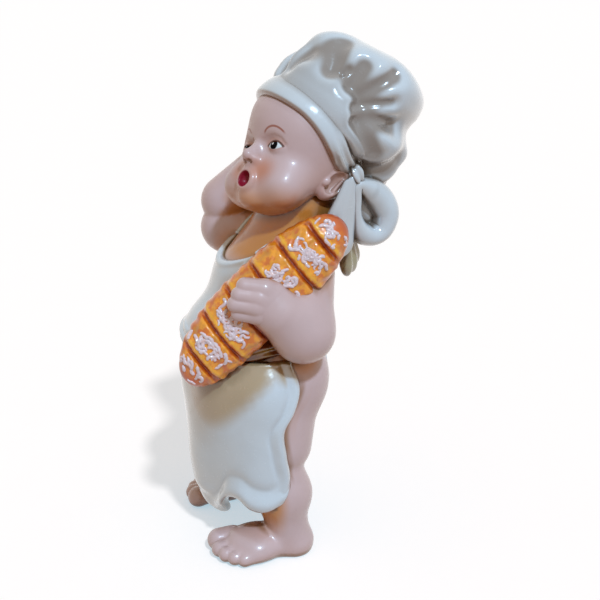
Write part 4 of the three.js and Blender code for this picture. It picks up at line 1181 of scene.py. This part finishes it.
def tidy_shape(points, faces):
    """Points that no face uses are dropped."""
    used, index = np.unique(faces, return_inverse=True)
    return points[used], index.reshape(faces.shape)


def strap_shape():
    left = STRAP_ROUTE
    right = [mirrored(p, -1) for p in left[:-1]][::-1]
    route = settle(grown(torso, 0.6), np.array(left + right), 9, 8)
    return tube([(p, *STRAP_RADII) for p in route], 16, 90, False)


bib = bib_form()
sash = sash_form()
back_knot = puckered(BACK_KNOT, BACK_KNOT_RADII, at(1, 0, 0.1), 5, 0.35)
back_loops = {s: puckered(mirrored(BACK_LOOP, s), BACK_LOOP_RADII, at(s, 0, 0.1), 6, 0.45) for s in (1, -1)}
back_tails = {
    s: ribbon_form(tuple(mirrored(p, s) for p in BACK_TAIL), BACK_TAIL_RADII, at(0, 1, 0)) for s in (1, -1)
}
loop_back = ball(BOW_LOOP_BACK, BOW_LOOP_BACK_RADII)
loop_spots, loop_widths, _ = zip(*BOW_LOOP, BOW_LOOP[0])
loop_form = blend(0.5, loop_back, chain(loop_spots, loop_widths, 0.5))


def ground(points):
    return points[..., 2] + 0.5


# Every form that closes off space in front of another, by which the glaze knows its recesses
everything = [body, left_hand, right_hand, head, band, crown, knot, strand, hat_tail, loaf, bib, sash]
everything += [skirt_form, loop_form, back_knot, *back_loops.values(), *back_tails.values(), ground]


# Icing: short crooked strokes between the slashes
def icing_shape():
    dice = np.random.default_rng(ICING_SEED)
    thickness, width, _ = LOAF_SIZE
    shapes = []
    for band_index in range(SLASHES + 1):
        middle = (band_index - SLASHES / 2) * SLASH_SPACING
        whole = 0 < band_index < SLASHES
        for _ in range(ICING_STROKES if whole else ICING_STROKES // 2):
            y = dice.triangular(-0.40, -0.02, 0.36) * width
            z = middle + dice.uniform(-3.4, 3.4) - SLASH_RISE * y
            heading = dice.uniform(0, 2 * math.pi)
            bend = dice.uniform(-0.9, 0.9)
            route = []
            for _ in range(dice.integers(4, 8)):
                route.append(at(thickness / 2, y, z))
                heading += bend + dice.uniform(-0.5, 0.5)
                y += ICING_STEP * math.cos(heading)
                z += ICING_STEP * math.sin(heading)
            route = np.array(route)
            across = np.abs(route[:, 1]) < width * 0.44
            slashed = np.mod(route[:, 2] + SLASH_RISE * route[:, 1], SLASH_SPACING)
            kept = across & (np.abs(slashed - SLASH_SPACING / 2) > 1.9)
            if not kept.all():
                continue
            route[:, 0] = thickness / 2 * np.sqrt(np.maximum(1 - (2 * route[:, 1] / width) ** 2, 0.05))
            route = settle(loaf_local, route, 2, 6)
            taper = np.linspace(0.25, 1, len(route))
            profile = dice.uniform(*ICING_RADIUS) * np.sqrt(taper * taper[::-1] * 1.8)
            shapes.append(stroke(route, profile))
    points, faces = joined(shapes)
    return points @ LOAF_TURN.T + LOAF_CENTRE, faces


def stroke(route, radii):
    """A little tube laid along a route, with round ends."""
    sides, steps = 8, len(route) * 3
    t = np.linspace(0, len(route) - 1, steps)
    middle = np.stack([flow(t, np.arange(len(route)), route[:, i]) for i in range(3)], -1)
    radius = np.interp(t, np.arange(len(route)), radii)
    ends = np.minimum(np.arange(steps), np.arange(steps)[::-1])
    radius = radius * np.sqrt(np.clip((ends + 0.15) / 2, 0.02, 1))
    along = np.gradient(middle, axis=0)
    along /= np.maximum(np.linalg.norm(along, axis=1), 1e-6)[:, None]
    up = slope(loaf_local, middle)
    side = np.cross(along, up)
    side /= np.maximum(np.linalg.norm(side, axis=1), 1e-6)[:, None]
    up = np.cross(side, along)
    around = 2 * np.pi * np.arange(sides) / sides
    spokes = side[:, None] * np.cos(around)[None, :, None] + up[:, None] * np.sin(around)[None, :, None]
    points = (middle[:, None] + spokes * radius[:, None, None]).reshape(-1, 3)
    faces = []
    for step in range(steps - 1):
        for k in range(sides):
            a, b = step * sides + k, step * sides + (k + 1) % sides
            faces.append((a, b, b + sides, a + sides))
    for start, turn in ((0, -1), ((steps - 1) * sides, 1)):
        for k in range(1, sides - 2, 2):
            faces.append(tuple(start + n for n in (0, k, k + 1, k + 2)[::turn]))
    return points, np.array(faces)


# Materials
class Paint:
    """The node tree of a material or the world, with short calls for its nodes."""

    def __init__(self, name, owner=None):
        self.owner = owner or bpy.data.materials.new(name)
        self.owner.use_nodes = True
        self.tree = self.owner.node_tree
        self.tree.nodes.clear()

    def done(self, shader, kind="ShaderNodeOutputMaterial"):
        self.tree.links.new(shader.outputs[0], self.node(kind, {}).inputs[0])
        return self.owner

    def node(self, kind, inputs, **settings):
        node = self.tree.nodes.new(kind)
        for key, value in settings.items():
            setattr(node, key, value)
        for key, value in inputs.items():
            self.give(node.inputs[key], value)
        return node

    def give(self, socket, value):
        if isinstance(value, bpy.types.NodeSocket):
            self.tree.links.new(value, socket)
        elif socket.type == "RGBA":
            socket.default_value = (*value, 1)
        else:
            socket.default_value = value

    def math(self, operation, *values):
        return self.node("ShaderNodeMath", dict(enumerate(values)), operation=operation).outputs[0]

    def times(self, first, second):
        return self.math("MULTIPLY", first, second)

    def larger(self, first, second):
        return self.math("MAXIMUM", first, second)

    def apart(self, first, second):
        """How far two values lie from each other."""
        return self.math("ABSOLUTE", self.math("SUBTRACT", first, second))

    def vector(self, operation, *values):
        node = self.node("ShaderNodeVectorMath", {}, operation=operation)
        for socket, value in zip(node.inputs, values):
            self.give(socket, value)
        return node

    def mix(self, share, first, second):
        node = self.node("ShaderNodeMix", {}, data_type="RGBA", clamp_factor=True)
        self.give(node.inputs[0], share)
        self.give(node.inputs[6], first)
        self.give(node.inputs[7], second)
        return node.outputs[2]

    def value(self, name):
        return self.node("ShaderNodeAttribute", {}, attribute_name=name).outputs["Fac"]

    def place(self):
        return self.node("ShaderNodeAttribute", {}, attribute_name="place").outputs["Vector"]

    def noise(self, scale, detail=3.0, where=None):
        spot = self.place() if where is None else where
        inputs = {"Vector": spot, "Scale": scale, "Detail": detail}
        return self.node("ShaderNodeTexNoise", inputs).outputs["Fac"]

    def ramp(self, value, low, high, start=0.0, end=1.0):
        inputs = {"Value": value, "From Min": low, "From Max": high, "To Min": start, "To Max": end}
        return self.node("ShaderNodeMapRange", inputs, interpolation_type="SMOOTHSTEP").outputs[0]

    def oval(self, centre, radii, soft, tilt=0.0):
        """1 inside an oval on the face as seen from straight ahead, and 0 outside it."""
        return self.ramp(self.oval_reach(centre, radii, tilt), 1 + soft, 1 - soft)

    def oval_reach(self, centre, radii, tilt=0.0):
        near = self.vector("SUBTRACT", self.place(), tuple(centre)).outputs[0]
        if tilt:
            inputs = {"Vector": near, "Axis": (0, 1, 0), "Angle": math.radians(tilt)}
            near = self.node("ShaderNodeVectorRotate", inputs, rotation_type="AXIS_ANGLE").outputs[0]
        shape = (1 / radii[0], 0, 1 / radii[1])
        return self.vector("LENGTH", self.vector("MULTIPLY", near, shape).outputs[0]).outputs["Value"]

    def within(self, value, low, high, soft):
        """1 between two levels and 0 beyond them."""
        rise, fall = self.ramp(value, low - soft, low + soft), self.ramp(value, high + soft, high - soft)
        return self.times(rise, fall)

    def directly_seen(self):
        """1 for the camera's rays and for reflections, and 0 for the light that falls on the figure."""
        path = self.node("ShaderNodeLightPath", {})
        return self.larger(path.outputs["Is Camera Ray"], path.outputs["Is Glossy Ray"])

    def axes(self):
        parts = self.node("ShaderNodeSeparateXYZ", {"Vector": self.place()})
        return [parts.outputs[axis] for axis in "XYZ"]

    def glaze(self, colour, roughness=0.28, waviness=0.06, coat=1.0, shine=0.5, coat_roughness=0.05):
        """Glossy glaze over a colour, with the slight waves that it sets in."""
        waves = self.noise(0.22, 2.0)
        fine = self.noise(2.2, 2.0)
        height = self.math("ADD", waves, self.times(fine, 0.03))
        bump = self.node("ShaderNodeBump", {"Height": height, "Strength": waviness, "Distance": 0.0012})
        rough = self.ramp(self.noise(0.6), 0.3, 0.7, roughness - 0.06, roughness + 0.08)
        inputs = {
            "Base Color": colour,
            "Roughness": rough,
            "Normal": bump.outputs[0],
            "Coat Weight": coat,
            "Coat Roughness": coat_roughness,
            "Specular IOR Level": shine,
        }
        return self.done(self.node("ShaderNodeBsdfPrincipled", inputs))

    def wash_and_shade(self, colour, deep, broad, strength=1.0, spread=1.0):
        """Warm wash and painted shade: a light coat of painted shade where the form turns down or is covered,
        darker in recesses and darkest in creases.
        """
        # painted shade: covered and downward-facing places get the broad colour, recesses and creases the
        # deep one
        cover = self.ramp(self.value("cover"), 0.25, 0.95, 0.0, 0.9 * strength)
        under = self.ramp(self.value("under"), 0.1, 1.0, 0.0, 0.3 * strength)
        soft = self.times(self.larger(cover, under), spread)
        recess = self.ramp(self.value("recess"), 0.2, 0.85, 0.0, 0.8 * strength)
        crease = self.ramp(self.value("crease"), 0.25, 0.9, 0.0, 0.8 * strength)
        colour = self.mix(soft, colour, broad)
        colour = self.mix(recess, colour, deep)
        return self.mix(crease, colour, tuple(c * 0.6 for c in deep))

    def mottled(self, colour, scale, amount):
        """The slight cloudiness of a glaze, lighter and darker round its own colour."""
        share = self.ramp(self.noise(scale), 0.3, 0.7, 0.0, 1.0)
        darker = tuple(c * (1 - amount) for c in colour)
        lighter = tuple(min(c * (1 + amount * 0.5), 1) for c in colour)
        return self.mix(share, darker, lighter)

    def specks(self, colour, dark, scale, size):
        """A few tiny specks of iron in the glaze."""
        inputs = {"Vector": self.place(), "Scale": scale, "Randomness": 1.0}
        spots = self.node("ShaderNodeTexVoronoi", inputs).outputs["Distance"]
        rare = self.ramp(self.noise(0.35, 0.0), 0.66, 0.7)
        share = self.times(self.ramp(spots, size, size * 0.5), rare)
        return self.mix(self.times(share, 0.7), colour, dark)


def skin_glaze():
    """Pale pink, with ochre painted shade under the chin, the skirt's painted shadow down the shins, a warm
    flush of painted shade on the raised arm, and less painted shade at the feet.
    """
    paint = Paint("skin_glaze")
    colour = paint.mottled(SKIN, 0.1, 0.04)
    x, y, z = paint.axes()
    # painted shade under the chin on the front of the neck and chest, and the skirt's painted shadow on the
    # front of the shins
    neck = paint.within(x, -NECK_SHADE_HALF_WIDTH, NECK_SHADE_HALF_WIDTH, 5)
    neck = paint.times(paint.ramp(z, *NECK_SHADE_HEIGHTS), neck)
    neck = paint.times(neck, paint.ramp(y, *NECK_SHADE_DEPTHS, 0.25, 1.0))
    shin = paint.times(paint.within(z, *SHIN_SHADOW_SPAN, 6), paint.ramp(y, *SHIN_SHADOW_DEPTHS))
    neck_and_shin_shade = paint.times(paint.larger(neck, shin), 0.95)
    # warm painted shade towards the end of the raised right arm
    colour = paint.mix(paint.ramp(x, *RIGHT_ARM_SHADE, 0.0, 0.6), colour, SKIN_FLUSH_AND_SHADE)
    # the broad painted shade is thinner near the feet
    spread = paint.ramp(z, *FOOT_SHADE_HEIGHTS, 0.15, 1.0)
    colour = paint.wash_and_shade(paint.mix(neck_and_shin_shade, colour, SKIN_SHADE), OCHRE, SKIN_SHADE, spread=spread)
    return paint.glaze(paint.specks(colour, BROWN, 0.5, 0.05), roughness=0.36, coat=0.6, coat_roughness=0.14)


def face_glaze():
    """Skin with blushed cheeks, ochre painted shade under the jaw and in its recesses, painted eyes and a red
    mouth, duller in the pupils and the mouth.
    """
    paint = Paint("face_glaze")
    colour = paint.mottled(SKIN, 0.1, 0.03)
    for side in (1, -1):
        reach = paint.oval_reach(mirrored(BLUSH, side), BLUSH_RADII)
        colour = paint.mix(paint.ramp(reach, 1.15, 0.1, 0.0, 0.95), colour, SKIN_FLUSH_AND_SHADE)
    _, depth, height = paint.axes()
    # ochre painted shade under the jaw
    colour = paint.mix(paint.ramp(height, *JAW_SHADE_HEIGHTS, 0.0, 0.8), colour, SKIN_SHADE)
    colour = paint.wash_and_shade(colour, OCHRE, SKIN_SHADE, 0.6, 0.3)
    colour, left_pupil = painted_eye(paint, colour, 1)
    colour, right_pupil = painted_eye(paint, colour, -1)
    reach = paint.oval_reach(MOUTH, (MOUTH_RADII[0] * 1.06, MOUTH_RADII[2] * 1.06))
    mouth = paint.times(paint.ramp(reach, 1.08, 0.94), paint.ramp(depth, -10, -12))
    colour = paint.mix(mouth, colour, LIP)
    pupils = paint.larger(left_pupil, right_pupil)
    dull = paint.larger(pupils, paint.times(mouth, 0.7))
    gloss = paint.math("SUBTRACT", 1.0, dull)
    shine = paint.times(gloss, 0.5)
    coat = paint.times(gloss, 0.3)
    return paint.glaze(colour, roughness=0.42, coat=coat, shine=shine, coat_roughness=0.14)


def painted_eye(paint, colour, side):
    """A colour with one eye on it, and where its pupil is: white, glint, lid line, lid shade and brow."""
    eye = mirrored(EYE, side)
    tilt = EYE_TILT * side
    closed = 0 if side > 0 else FAR_LID
    above = paint.oval_reach(eye + at(0, 0, -2.25 - closed), (4.2, 3.9), tilt)
    below = paint.oval_reach(eye + at(0, 0, 2.55 + closed), (4.5, 3.9), tilt)
    opening = paint.math("MINIMUM", paint.ramp(above, 1.03, 0.97), paint.ramp(below, 1.03, 0.97))
    # painted shade over the lids, in the blush colour
    shade = paint.times(paint.ramp(above, 1.5, 1.0), paint.ramp(below, 1.2, 0.9))
    colour = paint.mix(paint.times(shade, 0.6), colour, SKIN_FLUSH_AND_SHADE)
    colour = paint.mix(opening, colour, EYE_WHITE)
    look = eye + at(-0.2, 0, 0.15)
    pupil = paint.times(paint.oval(look, (1.7, 1.7), 0.08), opening)
    colour = paint.mix(pupil, colour, BLACK)
    # painted highlight: a white glint on the pupil
    colour = paint.mix(paint.oval(look + at(-0.5, 0, 0.45), (0.42, 0.42), 0.2), colour, GLINT)
    edge = paint.apart(above, 1.0)
    line = paint.times(paint.ramp(edge, 0.13, 0.05), paint.ramp(below, 1.14, 1.02))
    colour = paint.mix(line, colour, tuple(c * 0.4 for c in BROWN))
    brow_reach = paint.oval_reach(mirrored(BROW, side), BROW_RADII, BROW_TILT * side)
    brow_edge = paint.apart(brow_reach, 1.0)
    brow_span = paint.oval(mirrored(BROW_MIDDLE, side), BROW_REACH, 0.2, BROW_TILT * side)
    brow = paint.times(paint.ramp(brow_edge, 0.085, 0.03), brow_span)
    return paint.mix(paint.times(brow, 0.9), colour, BROW_PAINT), pupil


def cloth_glaze(name, deep, spread, edged=False, strength=1.0):
    """Bluish white with a wash and painted shade of its own, and a thin ochre line along its lower edge where
    it is edged.
    """
    paint = Paint(name)
    colour = paint.mottled(CLOTH, 0.1, 0.03)
    colour = paint.wash_and_shade(colour, deep, CLOTH_BROAD_SHADE, strength, spread)
    if edged:
        colour = paint.mix(paint.ramp(paint.axes()[2], 1.3, 0.5, 0.0, 0.8), colour, OCHRE)
    return paint.glaze(paint.specks(colour, BROWN, 0.45, 0.04), roughness=0.2)


def cream_glaze():
    paint = Paint("cream_glaze")
    colour = paint.mottled(CREAM, 0.15, 0.08)
    # olive painted shade in the tail's recesses and creases, and a light coat where it is covered
    return paint.glaze(paint.wash_and_shade(colour, OLIVE, CLOTH_BROAD_SHADE, spread=0.4), roughness=0.24)


def crust_glaze():
    """Baked yellow-orange, redder at its sides and ends, with a dark cut and a bright lip at each slash, and
    painted shade in its recesses and creases.
    """
    paint = Paint("crust_glaze")
    colour = paint.mottled(CRUST, 0.3, 0.25)
    thickness, _, length = LOAF_SIZE
    x, y, z = paint.axes()
    side = paint.ramp(x, thickness * 0.34, -thickness * 0.1)
    ends = paint.ramp(paint.math("ABSOLUTE", z), length * 0.38, length * 0.5)
    streak = paint.ramp(paint.noise(0.35, 5.0), 0.46, 0.62, 0.0, 0.75)
    colour = paint.mix(paint.larger(side, ends), colour, CRUST_EDGE)
    colour = paint.mix(streak, colour, CRUST_EDGE)
    along = paint.math("ADD", z, paint.times(y, SLASH_RISE))
    turn = paint.math("FRACT", paint.math("ADD", paint.math("DIVIDE", along, SLASH_SPACING), 10.0))
    wander = paint.times(paint.math("SUBTRACT", paint.noise(0.8), 0.5), 2.2)
    away = paint.math("ADD", paint.times(paint.math("SUBTRACT", turn, 0.5), SLASH_SPACING), wander)
    top = paint.ramp(x, 0.0, thickness * 0.25)
    lip = paint.ramp(paint.apart(away, SLASH_LIP), 1.0, 0.2)
    cut = paint.ramp(paint.math("ABSOLUTE", away), 0.75, 0.15)
    colour = paint.mix(paint.times(lip, top), colour, CRUST_LIP)
    colour = paint.mix(paint.times(cut, top), colour, CRUST_DEEP)
    # painted shade in the crust's recesses and creases
    colour = paint.mix(paint.ramp(paint.value("recess"), 0.35, 0.9, 0.0, 0.75), colour, CRUST_DARK)
    colour = paint.mix(paint.ramp(paint.value("crease"), 0.5, 1.0, 0.0, 0.9), colour, CRUST_DEEP)
    return paint.glaze(colour, roughness=0.35, waviness=0.25, coat=0.7)


def icing_glaze():
    paint = Paint("icing_glaze")
    colour = paint.mottled(ICING, 0.9, 0.12)
    colour = paint.mix(paint.ramp(paint.noise(0.7), 0.5, 0.75, 0.0, 0.6), colour, ICING_FLUSH)
    return paint.glaze(colour, roughness=0.3)


skin = skin_glaze(), "skin_glaze"
face = face_glaze(), "skin_glaze"
# each cloth names the deep colour of its painted shade in recesses and creases, and how far its broad painted
# shade spreads
hat_cloth = cloth_glaze("hat_glaze", CLOTH_SHADE, 0.2), "cloth_glaze"
band_cloth = cloth_glaze("band_glaze", CLOTH_SHADE, 0.25, True), "cloth_glaze"
strap_cloth = cloth_glaze("strap_glaze", OLIVE, 0.3, strength=0.3), "cloth_glaze"
apron_cloth = cloth_glaze("apron_glaze", OLIVE, 0.85), "cloth_glaze"
# the sash's deep colour is brown painted shade in its folds
sash_cloth = cloth_glaze("sash_glaze", BROWN, 1.0, strength=1.1), "cloth_glaze"
cream = cream_glaze(), "cream_glaze"
crust = crust_glaze(), "crust_glaze"
icing = icing_glaze(), "cream_glaze"


def loaf_shadow(points):
    """How much the loaf stands over a point of the apron, and so how much painted shadow of the loaf it gets.
    """
    return smoothstep(*LOAF_SHADE_REACH, loaf(points))


def skirt_shade(points):
    """Shade under the loaf, and some on the right half of the skirt above its hem."""
    turned = RIGHT_SHADE * smoothstep(6, -10, points[..., 0]) * smoothstep(14, 24, points[..., 2])
    return np.maximum(loaf_shadow(points), turned)


def build_body():
    nodes = ["torso", "left_leg", "right_leg", "left_arm", "right_arm"]
    netted("body_skin", body, at(0, -10, 79), (46, 32, 81), CELL_BODY, skin, nodes)
    for side, hand, palm in (("left", left_hand, LEFT_PALM), ("right", right_hand, RIGHT_PALM)):
        proud = grown(hand, HAND_PROUD)
        netted(side + "_hand_skin", proud, palm, (13, 21, 13), CELL_FACE * 0.8, skin, [side + "_hand"])
    nodes = ["head", "left_ear", "right_ear"]
    netted("head_skin", head, HEAD_CENTRE, (30, 32, 34), CELL_FACE, face, nodes, place=in_face)


def build_hat():
    middle = HEAD_CENTRE + (0, 4, 8)
    netted("hat_band_cloth", band, middle, (34, 36, 34), CELL_CLOTH, band_cloth, ["hat_band"], place=in_band)
    middle = CROWN_BASE + (0, 5, 4)
    nodes = ["hat_crown"]
    netted("hat_crown_cloth", crown, middle, (36, 42, 40), CELL_CLOTH, hat_cloth, nodes, sunken=crown_hollow_shade)
    netted("hat_knot", knot, KNOT, (6, 6, 6), CELL_CLOTH * 0.7, hat_cloth, ["hat_bow_knot"])
    middle = halfway(BOW_STRAND)
    netted("hat_strand", strand, middle, (10, 16, 22), CELL_CLOTH * 0.8, hat_cloth, ["hat_bow_strand"])
    closed = net(loop_back, BOW_LOOP_BACK - (10, 10, 11), BOW_LOOP_BACK + (10, 10, 11), CELL_CLOTH)
    piece("hat_loop", joined([tube(BOW_LOOP, 28, 110), closed]), hat_cloth, ["hat_bow_loop"])
    middle = halfway(BOW_TAIL)
    netted("hat_tail", hat_tail, middle, (12, 14, 16), CELL_CLOTH * 0.8, cream, ["hat_bow_tail"])


def build_apron():
    cell = CELL_CLOTH * 0.8
    netted("bib_cloth", bib, at(0, -24, 101), (26, 20, 19), cell, apron_cloth, ["apron_bib"])
    middle = at(0, -13, (SASH_BOTTOM + SASH_TOP) / 2)
    reach = (32, 33, (SASH_TOP - SASH_BOTTOM) / 2 + 2)
    # the sash gets the loaf's painted shadow
    netted("sash", sash, middle, reach, cell, sash_cloth, ["apron_waistband"], shaded=loaf_shadow)
    piece("neck_strap", strap_shape(), strap_cloth, ["apron_neck_strap"])
    # the skirt gets the loaf's painted shadow and painted shade on its right half
    piece("skirt_cloth", skirt_shape(), apron_cloth, ["apron_skirt"], shaded=skirt_shade)
    nodes = ["apron_bow_knot"]
    netted("back_knot", back_knot, BACK_KNOT, (7, 7, 8), CELL_CLOTH * 0.7, apron_cloth, nodes)
    for side, name in ((1, "left"), (-1, "right")):
        middle, nodes = mirrored(BACK_LOOP, side), ["apron_bow_loop_" + name]
        netted("back_loop_" + name, back_loops[side], middle, (13, 8, 10), cell, apron_cloth, nodes)
        middle, nodes = mirrored(halfway(BACK_TAIL), side), ["apron_bow_tail_" + name]
        netted("back_tail_" + name, back_tails[side], middle, (12, 8, 18), cell, apron_cloth, nodes)


def build_loaf():
    netted("loaf_crust", loaf, LOAF_CENTRE, (24, 38, 38), CELL_LOAF, crust, ["loaf"], place=in_loaf)
    piece("loaf_icing", icing_shape(), icing, place=in_loaf)


# Stage
CAMERA_AZIMUTH = 72
CAMERA_ELEVATION = 20
CAMERA_DISTANCE = 400
CAMERA_TARGET = at(16.5, 0, 98)
LENS = 66
SENSOR = 36
FLOOR_SIZE = 12
SKY_FILL = (0.43, 0.32, 0.18)
FLOOR_BOUNCE = (0.52, 0.42, 0.38)
FLOOR = (0.86, 0.56, 0.43)  # warm against the cool lamp, so that it and its shadow look plain
FLOOR_GLOW = (0.37, 0.55, 0.65)
KEY_AZIMUTH = 93
KEY_ELEVATION = 50
KEY_STRENGTH = 2.55
KEY_COLOUR = (0.53, 0.77, 1.0)
KEY_WIDTH = 4


def seen_from(azimuth, elevation):
    """The direction to a viewer, with azimuth 0 in front of the figure and 90 at its left."""
    a, e = math.radians(azimuth), math.radians(elevation)
    return Vector((math.sin(a) * math.cos(e), -math.cos(a) * math.cos(e), math.sin(e)))


def add_camera():
    data = bpy.data.cameras.new("camera")
    data.lens = LENS
    data.sensor_width = SENSOR
    data.clip_end = 50
    camera = added("camera", data)
    target = Vector((CAMERA_TARGET + FIGURE_ORIGIN) * MM)
    way = seen_from(CAMERA_AZIMUTH, CAMERA_ELEVATION)
    camera.location = target + way * CAMERA_DISTANCE * MM
    camera.rotation_euler = way.to_track_quat("Z", "Y").to_euler()
    bpy.context.scene.camera = camera


def add_key():
    data = bpy.data.lights.new("key", "SUN")
    data.energy = KEY_STRENGTH
    data.color = KEY_COLOUR
    data.angle = math.radians(KEY_WIDTH)
    lamp = added("key", data)
    lamp.location = seen_from(KEY_AZIMUTH, KEY_ELEVATION)
    lamp.rotation_euler = lamp.location.to_track_quat("Z", "Y").to_euler()


def add_world():
    """White where the camera or a reflection sees it, and an even fill on the figure."""
    paint = Paint("studio", bpy.data.worlds.new("studio"))
    seen = paint.directly_seen()
    fill = paint.node("ShaderNodeBackground", {"Color": SKY_FILL})
    white = paint.node("ShaderNodeBackground", {"Color": (1, 1, 1)})
    looks = paint.node("ShaderNodeMixShader", {0: seen, 1: fill.outputs[0], 2: white.outputs[0]})
    bpy.context.scene.world = paint.done(looks, "ShaderNodeOutputWorld")


def floor_material():
    """Pale where it is seen, so that only the shadow shows on it, and warm where it lights the figure."""
    paint = Paint("floor")
    seen = paint.directly_seen()
    grain = paint.node("ShaderNodeTexCoord", {}).outputs["Object"]
    colour = paint.mix(paint.noise(40.0, 2.0, grain), FLOOR, tuple(c * 0.98 for c in FLOOR))
    pale = paint.node("ShaderNodeBsdfDiffuse", {"Color": colour})
    glow = paint.node("ShaderNodeEmission", {"Color": FLOOR_GLOW, "Strength": 1.0})
    shown = paint.node("ShaderNodeAddShader", {0: pale.outputs[0], 1: glow.outputs[0]})
    warm = paint.node("ShaderNodeBsdfDiffuse", {"Color": FLOOR_BOUNCE})
    return paint.done(paint.node("ShaderNodeMixShader", {0: seen, 1: warm.outputs[0], 2: shown.outputs[0]}))


def add_floor():
    mesh = bpy.data.meshes.new("floor")
    half = FLOOR_SIZE / 2
    corners = [(-half, -half, 0), (half, -half, 0), (half, half, 0), (-half, half, 0)]
    mesh.from_pydata(corners, [], [(0, 1, 2, 3)])
    mesh.materials.append(floor_material())
    added("floor", mesh)


build_body()
build_hat()
build_apron()
build_loaf()
add_camera()
add_key()
add_world()
add_floor()
bpy.context.scene.view_settings.view_transform = "Standard"
